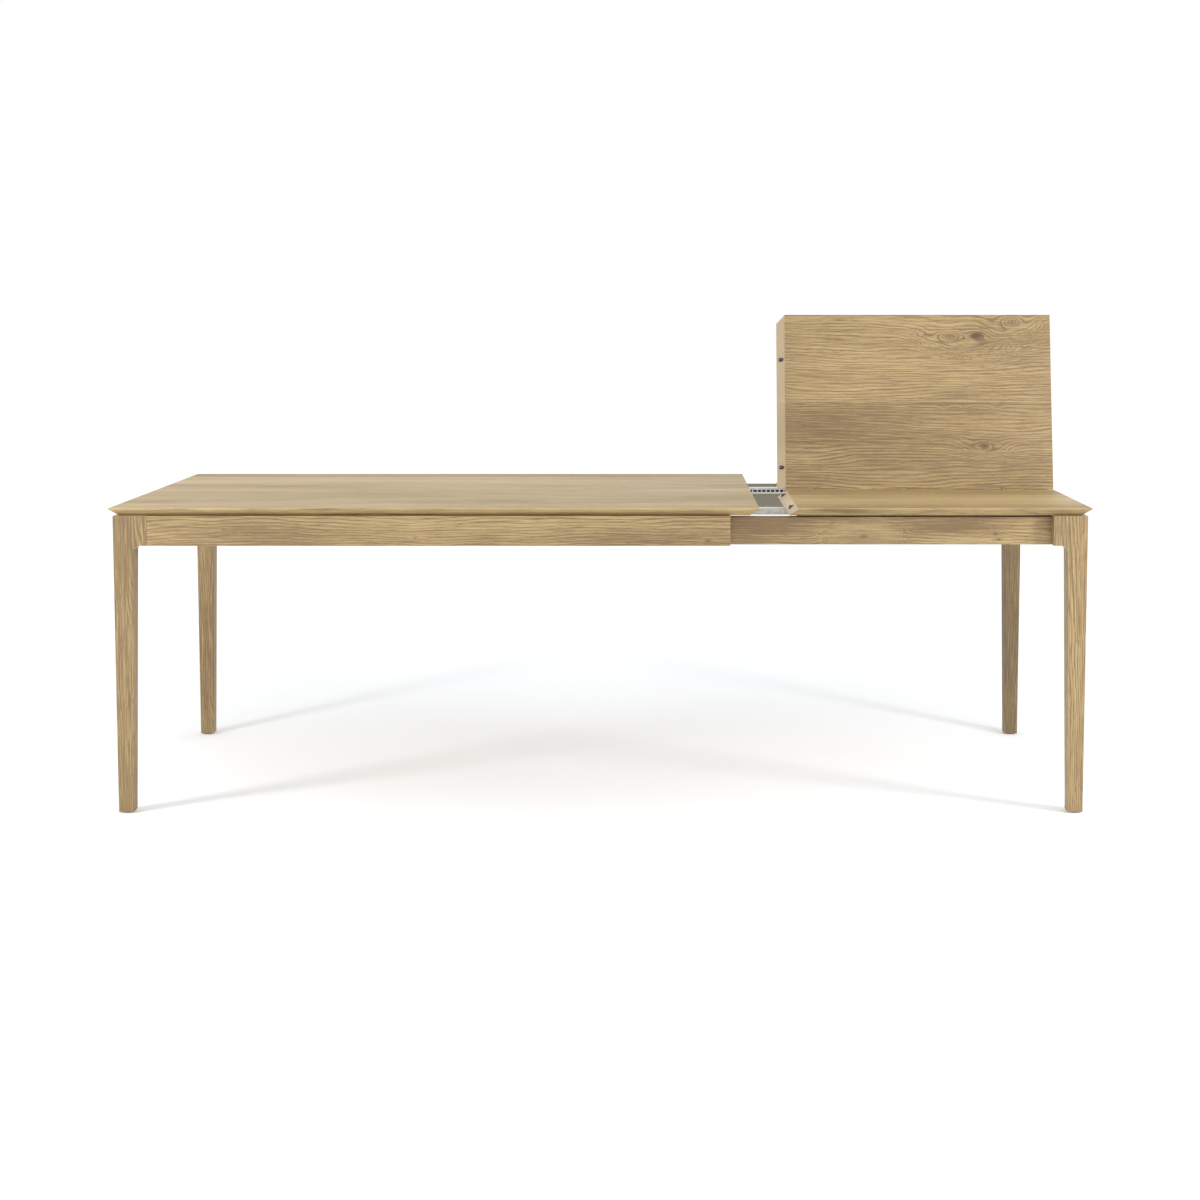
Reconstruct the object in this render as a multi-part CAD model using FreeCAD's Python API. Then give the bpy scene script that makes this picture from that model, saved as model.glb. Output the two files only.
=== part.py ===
import FreeCAD, Part
import math
import os

# Extendable dining table with a folding leaf, standing on the floor.
# +X runs from the fixed end to the end that pulls out, +Y from front to back, +Z up.
# The origin is on the floor, under the middle of the table as it stands part open,
# with a gap between the main top and the leaf, and the leaf's back half upright.

V = FreeCAD.Vector
os.makedirs("parts", exist_ok=True)

# ---- Driving dimensions (mm) ----------------------------------------------------
TABLE_HEIGHT = 760.0
TABLE_WIDTH = 950.0
MAIN_TOP_LENGTH = 1600.0
LEAF_LENGTH = 722.0
OPEN_GAP = 96.0                 # between the top edges of the main top and the leaf
BOARD_THICKNESS = 20.0
EDGE_LAND = 3.0                 # upright part of a board's edge, above its bevel
EDGE_BEVEL = 22.0               # how far the bevel runs in under the board

LEG_INSET = 8.5                 # board edge to the leg's outer face, at the leg's top
LEG_OUTER_TAPER = 6.5           # how far the outer face leans in on its way down
LEG_THICKNESS_TOP = 50.0
LEG_THICKNESS_FOOT = 37.0
LEG_HEAD_LENGTH = 84.0          # the knee that meets the apron
KNEE_RADIUS = 16.0

APRON_HEIGHT = 74.0
APRON_THICKNESS = 22.0
OUTER_APRON_END = 71.0          # the main top's end to the outer apron's free end
INNER_APRON_RECESS = 28.0       # leg face to the inner apron's face
INNER_APRON_DROP = 5.0          # inner apron's top below the boards
INNER_APRON_OVERLAP = 324.5     # how far it still reaches in under the main top
GUIDE_LENGTH = 80.0             # pads between the outer and the inner aprons
GUIDE_HEIGHT = 24.0
GUIDE_SETBACK = 50.0            # outer apron's free end to a pad's middle
LEAF_BEARER_WIDTH = 12.0        # battens inside the inner aprons, under the leaf's edges
LEAF_BEARER_HEIGHT = 20.0
BRACKET_SIZE = 22.0             # angle brackets that hold the main top down
BRACKET_THICKNESS = 2.0
BRACKET_WIDTH = 24.0
BRACKET_SPACING = 120.0
BRACKET_COUNT = 3
BRACKET_FIRST = 90.0            # outer apron's leg end to the first bracket

STORAGE_ROOM = 9.5              # each side of the folded leaf, between the rails
RAIL_WIDTH = 32.0               # inner rail
RAIL_HEIGHT = 16.0
RAIL_CORE_WIDTH = 15.0
RAIL_CORE_HEIGHT = 9.0
INNER_RAIL_OVERLAP = 253.0      # how far it still reaches in under the main top
RAIL_END_ROOM = 19.0            # outer rail past the inner one, with the table closed
OUTER_RAIL_WALL = 3.4
OUTER_RAIL_PLATE = 3.0
OUTER_RAIL_SETBACK = 30.0       # the main top's end to the outer rail's end
RAIL_STOP_LENGTH = 12.0
PLUG_CAP_THICKNESS = 3.0
PLUG_CORE_LENGTH = 15.0
BALL_RADIUS = 3.45
BALL_CONTACT_ANGLE = 59.0       # degrees up from a ball's side to the groove's edge
GROOVE_DEPTH = 4.5
CAGE_THICKNESS = 1.2
CAGE_RIM = 1.95                 # strip left above and below a window
WINDOW_LENGTH = 9.4
WINDOW_PITCH = 12.5
WINDOW_COUNT = 32
WINDOWS_PER_BALL = 3
CAGE_END = 8.75                 # cage's end to the middle of its first window
CAGE_OVERLAP = 270.0            # how far a cage still reaches in under the main top

FOLD_LEAN = 8.5                 # degrees that the standing half leans back
HINGE_COUNT = 3
HINGE_LENGTH = 60.0
HINGE_END_INSET = 110.0
KNUCKLE_RADIUS = 3.0
KNUCKLE_COUNT = 5
HINGE_PIN_RADIUS = 1.3
HINGE_PLATE_THICKNESS = 2.0
HINGE_PLATE_FOOT = 4.0          # wood left under a hinge plate

DOWEL_PIN_RADIUS = 5.0          # pins that line the leaf up with the main top
DOWEL_PIN_REACH = 7.0
DOWEL_PIN_ROOT = 26.0
DOWEL_PIN_DOME = 2.0
DOWEL_PIN_TIP_RADIUS = 3.5
DOWEL_PIN_EDGE_INSET = 122.0    # outer pin, from the table's long edge
DOWEL_PIN_SEAM_INSET = 60.0     # inner pin, from the seam between the leaf's halves
PIN_HOLE_DEPTH = 20.0           # measured beyond the bevel, at the pin's height

CROSS_BAR_WIDTH = 60.0
CROSS_BAR_HEIGHT = 22.0
BAR_FREE_END_INSET = 60.0       # first bar, from the inner rails' free ends
BAR_MIDDLE_INSET = 121.0        # second bar, from the leaf's near end
BAR_LEG_END_INSET = 201.0       # third bar, from the leaf's far end
CROSS_BAR_RISE = 2.0            # above the inner aprons' lower edges
BLOCK_LENGTH = 44.0
BLOCK_WIDTH = 28.0

BRACE_ROOM = 15.0               # between a knee's corner and the brace, along an apron
BRACE_WIDTH = 34.0              # along an apron
BRACE_HEIGHT = 40.0
BRACE_DROP = 28.0               # brace's top below the boards
BOLT_RADIUS = 4.0
BOLT_IN_LEG = 32.0
BOLT_PAST_BRACE = 12.0
WASHER_RADIUS = 8.8
WASHER_THICKNESS = 1.6
NUT_RADIUS = 6.4
NUT_HEIGHT = 6.4

GLIDE_RADIUS = 13.0
GLIDE_HEIGHT = 3.0
GLIDE_TAPER = 1.0
GLIDE_PIN_RADIUS = 1.5
GLIDE_PIN_LENGTH = 16.0

JOINT_DOWEL_RADIUS = 5.0
JOINT_DOWEL_LENGTH = 60.0
JOINT_DOWEL_SPACING = 36.0
BAR_DOWEL_LENGTH = 45.0
BAR_DOWEL_IN_APRON = 14.0
BAR_DOWEL_SPACING = 36.0
TOP_DOWEL_RADIUS = 3.0
TOP_DOWEL_WALL = 1.5            # wood between a top dowel and the apron's inner face
TOP_DOWEL_LENGTH = 32.0
TOP_DOWEL_IN_TOP = 12.0
TOP_DOWEL_COUNT = 5
TOP_DOWEL_END = 60.0            # outer apron's end to its first top dowel

SCREW_RADIUS = 2.0              # block screws; a head is twice as wide as its shank
SMALL_SCREW_RADIUS = 1.7        # hinge, bracket and guide screws
RAIL_SCREW_RADIUS = 1.9
RAIL_SCREW_LENGTH = 15.0
RAIL_SCREW_COUNT = 6
RAIL_SCREW_END = 60.0           # outer rail's end to its first screw
STOP_SCREW_LENGTH = 28.0
HINGE_SCREW_LENGTH = 22.0
GUIDE_SCREW_LENGTH = 18.0
GUIDE_SCREW_SPACING = 50.0
BRACKET_SCREW_PLACE = 13.2      # from the bracket's corner, along each flange
APRON_SCREW_LENGTH = 16.0       # from a bracket into the outer apron
TOP_SCREW_LENGTH = 14.0         # from a bracket into the main top
BLOCK_SCREW_SPACING = 24.0

# ---- Clearances -----------------------------------------------------------------
REST_GAP = 0.3                  # under the leaf, and between rails and the main top
SEAM_GAP = 0.6                  # between the two leaf halves
HINGE_RISE = 0.5                # hinge line above the boards' top faces
HINGE_RUNNING = 0.05            # pin in the back half's knuckles
SNUG = 0.05                     # screws, dowels and pins in their holes
PIN_HOLE_SLACK = 0.5            # alignment pins in the main top
MORTISE_SLACK = 0.35
SLIDE_GAP = 0.5
OVER = 1.0                      # how far a cutting shape runs past what it cuts

# ---- Derived places -------------------------------------------------------------
REST_LENGTH = MAIN_TOP_LENGTH + OPEN_GAP + LEAF_LENGTH
X_LEFT = -REST_LENGTH / 2
X_MAIN_END = X_LEFT + MAIN_TOP_LENGTH
X_LEAF = X_MAIN_END + OPEN_GAP
X_RIGHT = REST_LENGTH / 2
HALF_WIDTH = TABLE_WIDTH / 2
Z_TOP = TABLE_HEIGHT
Z_LAND = Z_TOP - EDGE_LAND
Z_UNDER = Z_TOP - BOARD_THICKNESS
Z_APRON = Z_UNDER - APRON_HEIGHT
BEVEL_SLOPE = EDGE_BEVEL / (BOARD_THICKNESS - EDGE_LAND)
LEG_FACE_Y = HALF_WIDTH - LEG_INSET
Z_INNER_RAIL_TOP = Z_UNDER - REST_GAP
Z_INNER_RAIL_BOTTOM = Z_INNER_RAIL_TOP - RAIL_HEIGHT
Z_BALLS = Z_INNER_RAIL_TOP - RAIL_HEIGHT / 2
BALL_EDGE_OFFSET = (BALL_RADIUS + SNUG) * math.cos(math.radians(BALL_CONTACT_ANGLE))
GROOVE_LIP = (BALL_RADIUS + SNUG) * math.sin(math.radians(BALL_CONTACT_ANGLE))
WINDOW_HALF_HEIGHT = BALL_RADIUS + 2 * SNUG
BALL_Y = RAIL_WIDTH / 2 + BALL_EDGE_OFFSET
OUTER_WALL_Y = BALL_Y + BALL_EDGE_OFFSET
OUTER_HALF_WIDTH = OUTER_WALL_Y + OUTER_RAIL_WALL
RAIL_Y = HALF_WIDTH / 2 + STORAGE_ROOM + OUTER_HALF_WIDTH
X_OUTER_RAIL_END = X_MAIN_END - OUTER_RAIL_SETBACK
X_INNER_APRON_END = X_RIGHT - LEG_INSET - LEG_HEAD_LENGTH
X_INNER_APRON_START = X_MAIN_END - INNER_APRON_OVERLAP
INNER_APRON_FACE_Y = LEG_FACE_Y - INNER_APRON_RECESS
INNER_APRON_BACK_Y = INNER_APRON_FACE_Y - APRON_THICKNESS
GUIDE_THICKNESS = INNER_APRON_RECESS - APRON_THICKNESS - SLIDE_GAP
X_END_APRON = X_RIGHT - LEG_INSET - APRON_THICKNESS
X_INNER_RAIL_END = X_END_APRON - SLIDE_GAP
X_INNER_RAIL_START = X_MAIN_END - INNER_RAIL_OVERLAP
X_OUTER_RAIL_START = X_INNER_RAIL_START - LEAF_LENGTH - OPEN_GAP - RAIL_END_ROOM
Z_HINGE = Z_TOP + HINGE_RISE
Z_PIN = Z_TOP - BOARD_THICKNESS / 2
PIN_BEVEL_RUN = (Z_LAND - Z_PIN) * BEVEL_SLOPE      # bevel's run at the pins' height
LEAN_DIP = (BOARD_THICKNESS + HINGE_RISE) * math.tan(math.radians(FOLD_LEAN))
Z_BAR = Z_APRON + CROSS_BAR_RISE
KNEE_SUM = 2 * LEG_INSET + LEG_HEAD_LENGTH + LEG_THICKNESS_TOP    # a knee's inner corner


# ---- Shape helpers --------------------------------------------------------------
def box(x0, x1, y0, y1, z0, z1):
    return Part.makeBox(x1 - x0, y1 - y0, z1 - z0, V(x0, y0, z0))


def rod(start, direction, radius, length):
    return Part.makeCylinder(radius, length, start, direction)


def prism(points, along):
    """Closed outline of points, drawn out by the vector along."""
    return Part.Face(Part.makePolygon(points + [points[0]])).extrude(along)


def xz_prism(outline, y0, y1):
    return prism([V(x, y0, z) for x, z in outline], V(0, y1 - y0, 0))


def yz_prism(outline, x0, x1):
    return prism([V(x0, y, z) for y, z in outline], V(x1 - x0, 0, 0))


def fuse(shapes):
    return shapes[0].multiFuse(shapes[1:]).removeSplitter()


def cut(shape, tools):
    return shape.cut(Part.makeCompound(tools)) if tools else shape


def to_back(shape):
    """The same piece on the other side of the table's long centre plane."""
    return shape.mirror(V(0, 0, 0), V(0, 1, 0))


def to_right(shape):
    """A piece of the fixed end, turned into its twin at the end that pulls out."""
    return shape.mirror(V(0, 0, 0), V(1, 0, 0))


def save(name, *solids):
    shape = solids[0] if len(solids) == 1 else Part.makeCompound(list(solids))
    shape.exportStep(os.path.join("parts", name + ".step"))


def wood_screw(head, direction, length, radius, grow=0.0):
    """Countersunk screw: head is the middle of its flat top, direction points in."""
    shank = rod(head, direction, radius + grow, length + grow)
    cone = Part.makeCone(2 * radius + grow, radius + grow, radius, head, direction)
    return shank.fuse(cone).removeSplitter()


def screw_set(places, direction, length, radius, grow=0.0):
    return [wood_screw(place, direction, length, radius, grow) for place in places]


# ---- Boards ---------------------------------------------------------------------
def side_bevel_waste(x0, x1, side):
    """What is planed off under a long edge; side is -1 at the front, +1 at the back."""
    edge = side * HALF_WIDTH
    outline = [(edge + side * OVER, Z_LAND), (edge, Z_LAND),
               (edge - side * EDGE_BEVEL, Z_UNDER), (edge - side * EDGE_BEVEL, Z_UNDER - OVER),
               (edge + side * OVER, Z_UNDER - OVER)]
    return yz_prism(outline, x0 - OVER, x1 + OVER)


def rail_cavity():
    """Pocket routed in the main top's underside for an outer rail's plate."""
    half = OUTER_HALF_WIDTH + SLIDE_GAP / 2
    return box(X_OUTER_RAIL_START - SLIDE_GAP, X_OUTER_RAIL_END + SLIDE_GAP,
               -RAIL_Y - half, -RAIL_Y + half, Z_UNDER - OVER, Z_UNDER + OUTER_RAIL_PLATE)


def pin_rows():
    """Distances from the centre plane of the alignment pins in one half."""
    return [HALF_WIDTH - DOWEL_PIN_EDGE_INSET, DOWEL_PIN_SEAM_INSET]


def pin_hole(y):
    depth = PIN_BEVEL_RUN + PIN_HOLE_DEPTH
    return rod(V(X_MAIN_END + OVER, y, Z_PIN), V(-1, 0, 0),
               DOWEL_PIN_RADIUS + PIN_HOLE_SLACK, depth + OVER)


def main_top():
    outline = [(X_LEFT, Z_TOP), (X_MAIN_END, Z_TOP), (X_MAIN_END, Z_LAND),
               (X_MAIN_END - EDGE_BEVEL, Z_UNDER), (X_LEFT + EDGE_BEVEL, Z_UNDER),
               (X_LEFT, Z_LAND)]
    board = xz_prism(outline, -HALF_WIDTH, HALF_WIDTH)
    waste = [side_bevel_waste(X_LEFT, X_MAIN_END, side) for side in (-1, 1)]
    waste += [rail_cavity(), to_back(rail_cavity())]
    for y in pin_rows():
        waste += [pin_hole(y), pin_hole(-y)]
    return cut(board, waste)


def leaf_board(side):
    """One leaf half, lying flat: bevelled at its free edges, and with a matching
    lip that runs in under the main top's bevel."""
    outline = [(X_LEAF, Z_TOP), (X_RIGHT, Z_TOP), (X_RIGHT, Z_LAND),
               (X_RIGHT - EDGE_BEVEL, Z_UNDER), (X_LEAF - EDGE_BEVEL, Z_UNDER),
               (X_LEAF, Z_LAND)]
    y_seam = side * SEAM_GAP / 2
    y_edge = side * HALF_WIDTH
    board = xz_prism(outline, min(y_seam, y_edge), max(y_seam, y_edge))
    waste = [side_bevel_waste(X_LEAF - EDGE_BEVEL, X_RIGHT, side)]
    waste += [hinge_mortise(x, side) for x in hinge_places()]
    waste += [pin_root_hole(side * y) for y in pin_rows()]
    waste += hinge_screws(side, SNUG)
    if side > 0:
        waste.append(lip_relief())
    return cut(board, waste)


def lip_relief():
    """Shortens the back half's lip at the seam, where its lower corner would dip
    into the main top while that half stands."""
    return box(X_LEAF - EDGE_BEVEL - OVER, X_LEAF, -OVER, SEAM_GAP / 2 + LEAN_DIP + REST_GAP,
               Z_UNDER - OVER, Z_TOP + OVER)


def pin_root_hole(y):
    return rod(V(X_LEAF - EDGE_BEVEL - OVER, y, Z_PIN), V(1, 0, 0), DOWEL_PIN_RADIUS + SNUG,
               EDGE_BEVEL - PIN_BEVEL_RUN + OVER + DOWEL_PIN_ROOT + SNUG)


def alignment_pin(y):
    """Steel pin with a tapered tip, standing out of the leaf's lip."""
    tip = X_LEAF - PIN_BEVEL_RUN - DOWEL_PIN_REACH
    shank = rod(V(tip + DOWEL_PIN_DOME, y, Z_PIN), V(1, 0, 0), DOWEL_PIN_RADIUS,
                DOWEL_PIN_REACH - DOWEL_PIN_DOME + DOWEL_PIN_ROOT)
    nose = Part.makeCone(DOWEL_PIN_TIP_RADIUS, DOWEL_PIN_RADIUS, DOWEL_PIN_DOME,
                         V(tip, y, Z_PIN), V(1, 0, 0))
    return shank.fuse(nose).removeSplitter()


# ---- Leaf hinges ----------------------------------------------------------------
def hinge_places():
    """Middle of each hinge along X, spread evenly between the end insets."""
    first = X_LEAF + HINGE_END_INSET
    step = (LEAF_LENGTH - 2 * HINGE_END_INSET) / (HINGE_COUNT - 1)
    return [first + i * step for i in range(HINGE_COUNT)]


def knuckle_spans(x, side):
    """The front plate has the odd knuckles, at both ends, and the back plate the rest."""
    length = HINGE_LENGTH / KNUCKLE_COUNT
    start = x - HINGE_LENGTH / 2
    first = 0 if side < 0 else 1
    spans = []
    for i in range(first, KNUCKLE_COUNT, 2):
        low = start + i * length + SLIDE_GAP / 2
        spans.append((low, low + length - SLIDE_GAP))
    return spans


def plate_top():
    return Z_HINGE - KNUCKLE_RADIUS - MORTISE_SLACK


def hinge_plate(x, side):
    """Plate let into the seam edge of one half, with its knuckles on the hinge line."""
    near = side * SEAM_GAP / 2
    far = near + side * HINGE_PLATE_THICKNESS
    y0, y1 = min(near, far), max(near, far)
    plate = box(x - HINGE_LENGTH / 2, x + HINGE_LENGTH / 2, y0, y1,
                Z_UNDER + HINGE_PLATE_FOOT, plate_top())
    pieces = [plate]
    for x0, x1 in knuckle_spans(x, side):
        pieces.append(box(x0, x1, y0, y1, plate_top() - OVER, Z_HINGE))
        pieces.append(rod(V(x0, 0, Z_HINGE), V(1, 0, 0), KNUCKLE_RADIUS, x1 - x0))
    bore = HINGE_PIN_RADIUS + (HINGE_RUNNING if side > 0 else SNUG / 2)
    tools = [rod(V(x - HINGE_LENGTH, 0, Z_HINGE), V(1, 0, 0), bore, 2 * HINGE_LENGTH)]
    tools += hinge_screws(side, SNUG)
    return cut(fuse(pieces), tools)


def hinge_mortise(x, side):
    """Room in the board's seam edge for a plate, its necks and the knuckles."""
    half = HINGE_LENGTH / 2 + MORTISE_SLACK
    far = side * (SEAM_GAP / 2 + HINGE_PLATE_THICKNESS + SNUG)
    y0, y1 = min(-side * OVER, far), max(-side * OVER, far)
    slot = box(x - half, x + half, y0, y1, Z_UNDER + HINGE_PLATE_FOOT - SNUG, Z_TOP + OVER)
    trough = rod(V(x - half, 0, Z_HINGE), V(1, 0, 0), KNUCKLE_RADIUS + MORTISE_SLACK, 2 * half)
    return slot.fuse(trough)


def hinge_pin(x):
    return rod(V(x - HINGE_LENGTH / 2 + SLIDE_GAP, 0, Z_HINGE), V(1, 0, 0),
               HINGE_PIN_RADIUS, HINGE_LENGTH - 2 * SLIDE_GAP)


def hinge_screws(side, grow=0.0):
    z = (Z_UNDER + HINGE_PLATE_FOOT + plate_top()) / 2
    head_y = side * SEAM_GAP / 2
    screws = []
    for x in hinge_places():
        places = [V(x + i * HINGE_LENGTH / 3, head_y, z) for i in (-1, 0, 1)]
        screws += screw_set(places, V(0, side, 0), HINGE_SCREW_LENGTH,
                            SMALL_SCREW_RADIUS, grow)
    return screws


def stand_up(shape):
    """Turn the back half from flat to its rest pose, leaning a little backwards."""
    return shape.copy().rotate(V(0, 0, Z_HINGE), V(1, 0, 0), 90.0 - FOLD_LEAN)


# ---- Legs -----------------------------------------------------------------------
def leg_profile():
    """Outline seen square on, as (inset from the board's edge, height)."""
    z_foot = GLIDE_HEIGHT
    outer_foot = LEG_INSET + LEG_OUTER_TAPER
    inner_foot = outer_foot + LEG_THICKNESS_FOOT
    inner_top = LEG_INSET + LEG_THICKNESS_TOP
    lean = math.atan2(inner_top - inner_foot, Z_APRON - z_foot)
    run = KNEE_RADIUS * math.tan((math.pi / 2 + lean) / 2)
    start = V(inner_top - run * math.sin(lean), 0, Z_APRON - run * math.cos(lean))
    end = V(inner_top + run, 0, Z_APRON)
    centre = V(end.x, 0, Z_APRON - KNEE_RADIUS)
    towards = V(inner_top, 0, Z_APRON) - centre
    middle = centre + towards.normalize() * KNEE_RADIUS
    head_end = V(LEG_INSET + LEG_HEAD_LENGTH, 0, Z_APRON)
    corners = [end, head_end, V(head_end.x, 0, Z_UNDER), V(LEG_INSET, 0, Z_UNDER),
               V(outer_foot, 0, z_foot), V(inner_foot, 0, z_foot), start]
    edges = [Part.LineSegment(a, b).toShape() for a, b in zip(corners, corners[1:])]
    edges.append(Part.Arc(start, middle, end).toShape())
    return Part.Face(Part.Wire(edges))


def glide_place():
    """Middle of the foot, as an inset from both board edges."""
    return LEG_INSET + LEG_OUTER_TAPER + LEG_THICKNESS_FOOT / 2


def leg(top_gap):
    """Front left leg: the same outline from the front and from the side, and an
    L-shaped head whose knees run out to the two aprons."""
    reach = LEG_INSET + LEG_HEAD_LENGTH + OVER
    from_front = leg_profile().extrude(V(0, reach, 0))
    from_side = from_front.copy().rotate(V(0, 0, 0), V(0, 0, 1), 90)
    from_side = from_side.mirror(V(0, 0, 0), V(1, 0, 0))
    shaft = LEG_INSET + LEG_THICKNESS_TOP
    plan = fuse([box(0, reach, 0, shaft, 0, Z_UNDER - top_gap),
                 box(0, shaft, 0, reach, 0, Z_UNDER - top_gap)])
    solid = from_front.common(from_side).common(plan)
    solid.translate(V(X_LEFT, -HALF_WIDTH, 0))
    x, y = X_LEFT + glide_place(), -HALF_WIDTH + glide_place()
    pin_hole_in_foot = rod(V(x, y, 0), V(0, 0, 1), GLIDE_PIN_RADIUS + SNUG,
                           GLIDE_HEIGHT + GLIDE_PIN_LENGTH + SNUG)
    return cut(solid, [pin_hole_in_foot, corner_bolt(SNUG)])


def foot_glide():
    x, y = X_LEFT + glide_place(), -HALF_WIDTH + glide_place()
    disc = Part.makeCone(GLIDE_RADIUS - GLIDE_TAPER, GLIDE_RADIUS, GLIDE_HEIGHT,
                         V(x, y, 0), V(0, 0, 1))
    pin = rod(V(x, y, GLIDE_HEIGHT), V(0, 0, 1), GLIDE_PIN_RADIUS, GLIDE_PIN_LENGTH)
    return disc.fuse(pin).removeSplitter()


# ---- Corner braces --------------------------------------------------------------
def corner_brace(long_face, end_face):
    """Diagonal block across the front left corner. The faces are the insets, from
    the board's edges, of the long apron's and the end apron's inner sides."""
    near = KNEE_SUM + BRACE_ROOM
    far = near + BRACE_WIDTH
    z0 = Z_UNDER - BRACE_DROP - BRACE_HEIGHT
    plan = [(near - long_face, long_face), (far - long_face, long_face),
            (end_face, far - end_face), (end_face, near - end_face)]
    points = [V(X_LEFT + x, -HALF_WIDTH + y, z0) for x, y in plan]
    return cut(prism(points, V(0, 0, BRACE_HEIGHT)), [corner_bolt(SNUG)])


def corner_bolt(grow=0.0):
    """Bolt from the brace into the inner corner of the leg's head, with its nut."""
    z = Z_UNDER - BRACE_DROP - BRACE_HEIGHT / 2
    inner = LEG_INSET + LEG_THICKNESS_TOP
    outer = (KNEE_SUM + BRACE_ROOM + BRACE_WIDTH) / 2
    along = V(1, 1, 0).normalize()
    start = V(X_LEFT + inner, -HALF_WIDTH + inner, z) - along * BOLT_IN_LEG
    span = (outer - inner) * math.sqrt(2) + BOLT_IN_LEG
    bolt = rod(start, along, BOLT_RADIUS + grow, span + BOLT_PAST_BRACE)
    if grow:
        return bolt
    washer = rod(start + along * span, along, WASHER_RADIUS, WASHER_THICKNESS)
    nut = rod(start + along * (span + WASHER_THICKNESS), along, NUT_RADIUS, NUT_HEIGHT)
    return fuse([bolt, washer, nut])


# ---- Aprons ---------------------------------------------------------------------
def joint_dowels(x, y, direction, grow=0.0):
    """Pair of dowels, one over the other, centred on the joint between leg and apron."""
    z_mid = Z_APRON + APRON_HEIGHT / 2
    half = JOINT_DOWEL_LENGTH / 2
    dowels = []
    for dz in (-JOINT_DOWEL_SPACING / 2, JOINT_DOWEL_SPACING / 2):
        start = V(x, y, z_mid + dz) - direction * (half + grow)
        dowels.append(rod(start, direction, JOINT_DOWEL_RADIUS + grow, 2 * (half + grow)))
    return dowels


def main_dowels(grow=0.0):
    """Dowels of the front left corner."""
    head = LEG_INSET + LEG_HEAD_LENGTH
    mid = LEG_INSET + APRON_THICKNESS / 2
    long_joint = joint_dowels(X_LEFT + head, -HALF_WIDTH + mid, V(1, 0, 0), grow)
    end_joint = joint_dowels(X_LEFT + mid, -HALF_WIDTH + head, V(0, 1, 0), grow)
    return long_joint + end_joint


def extension_dowels(grow=0.0):
    """Dowels of the front right corner, where the long apron is set back."""
    head = LEG_INSET + LEG_HEAD_LENGTH
    mid = LEG_INSET + APRON_THICKNESS / 2
    y_long = -INNER_APRON_FACE_Y + APRON_THICKNESS / 2
    long_joint = joint_dowels(X_RIGHT - head, y_long, V(1, 0, 0), grow)
    end_joint = joint_dowels(X_RIGHT - mid, -HALF_WIDTH + head, V(0, 1, 0), grow)
    return long_joint + end_joint


def top_dowels(grow=0.0):
    """Dowels that stand in the front outer apron and reach up into the main top."""
    first = X_LEFT + LEG_INSET + LEG_HEAD_LENGTH + TOP_DOWEL_END
    last = X_MAIN_END - OUTER_APRON_END - TOP_DOWEL_END
    step = (last - first) / (TOP_DOWEL_COUNT - 1)
    z = Z_UNDER + TOP_DOWEL_IN_TOP - TOP_DOWEL_LENGTH - grow
    y = -LEG_FACE_Y + APRON_THICKNESS - TOP_DOWEL_WALL - TOP_DOWEL_RADIUS
    return [rod(V(first + i * step, y, z), V(0, 0, 1), TOP_DOWEL_RADIUS + grow,
                TOP_DOWEL_LENGTH + 2 * grow) for i in range(TOP_DOWEL_COUNT)]


def outer_apron():
    """Front outer apron, flush with the fixed legs and open at its other end."""
    x0 = X_LEFT + LEG_INSET + LEG_HEAD_LENGTH
    apron = box(x0, X_MAIN_END - OUTER_APRON_END, -LEG_FACE_Y, -LEG_FACE_Y + APRON_THICKNESS,
                Z_APRON, Z_UNDER)
    tools = main_dowels(SNUG) + top_dowels(SNUG)
    return cut(apron, tools + bracket_screws_in_apron(SNUG) + guide_screws(SNUG))


def end_apron(z_top, dowels):
    """Apron across the fixed end, between the two knees."""
    reach = HALF_WIDTH - LEG_INSET - LEG_HEAD_LENGTH
    x0 = X_LEFT + LEG_INSET
    apron = box(x0, x0 + APRON_THICKNESS, -reach, reach, Z_APRON, z_top)
    return cut(apron, dowels + [to_back(d) for d in dowels])


def inner_apron():
    """Front inner apron, doweled to the pulled-out legs and free at its other end."""
    z_top = Z_UNDER - INNER_APRON_DROP
    apron = box(X_INNER_APRON_START, X_INNER_APRON_END, -INNER_APRON_FACE_Y,
                -INNER_APRON_BACK_Y, Z_APRON, z_top)
    return cut(apron, extension_dowels(SNUG) + bar_dowels(SNUG))


def leaf_bearer():
    """Batten glued inside the front inner apron that the leaf's long edge lies on."""
    z_top = Z_UNDER - REST_GAP
    return box(X_LEAF, X_INNER_APRON_END - SLIDE_GAP, -INNER_APRON_BACK_Y,
               -INNER_APRON_BACK_Y + LEAF_BEARER_WIDTH, z_top - LEAF_BEARER_HEIGHT, z_top)


def guide_screw_places():
    """Middles of the screw heads, flush with the pad's inner face."""
    x = X_MAIN_END - OUTER_APRON_END - GUIDE_SETBACK
    y = -LEG_FACE_Y + APRON_THICKNESS + GUIDE_THICKNESS
    z = Z_APRON + (APRON_HEIGHT - INNER_APRON_DROP) / 2
    return [V(x + dx, y, z) for dx in (-GUIDE_SCREW_SPACING / 2, GUIDE_SCREW_SPACING / 2)]


def apron_guide():
    """Low-friction pad on the outer apron that keeps the inner apron straight."""
    x = X_MAIN_END - OUTER_APRON_END - GUIDE_SETBACK
    y0 = -LEG_FACE_Y + APRON_THICKNESS
    z_mid = Z_APRON + (APRON_HEIGHT - INNER_APRON_DROP) / 2
    pad = box(x - GUIDE_LENGTH / 2, x + GUIDE_LENGTH / 2, y0, y0 + GUIDE_THICKNESS,
              z_mid - GUIDE_HEIGHT / 2, z_mid + GUIDE_HEIGHT / 2)
    return cut(pad, guide_screws(SNUG))


def guide_screws(grow=0.0):
    return screw_set(guide_screw_places(), V(0, -1, 0), GUIDE_SCREW_LENGTH,
                     SMALL_SCREW_RADIUS, grow)


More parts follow.
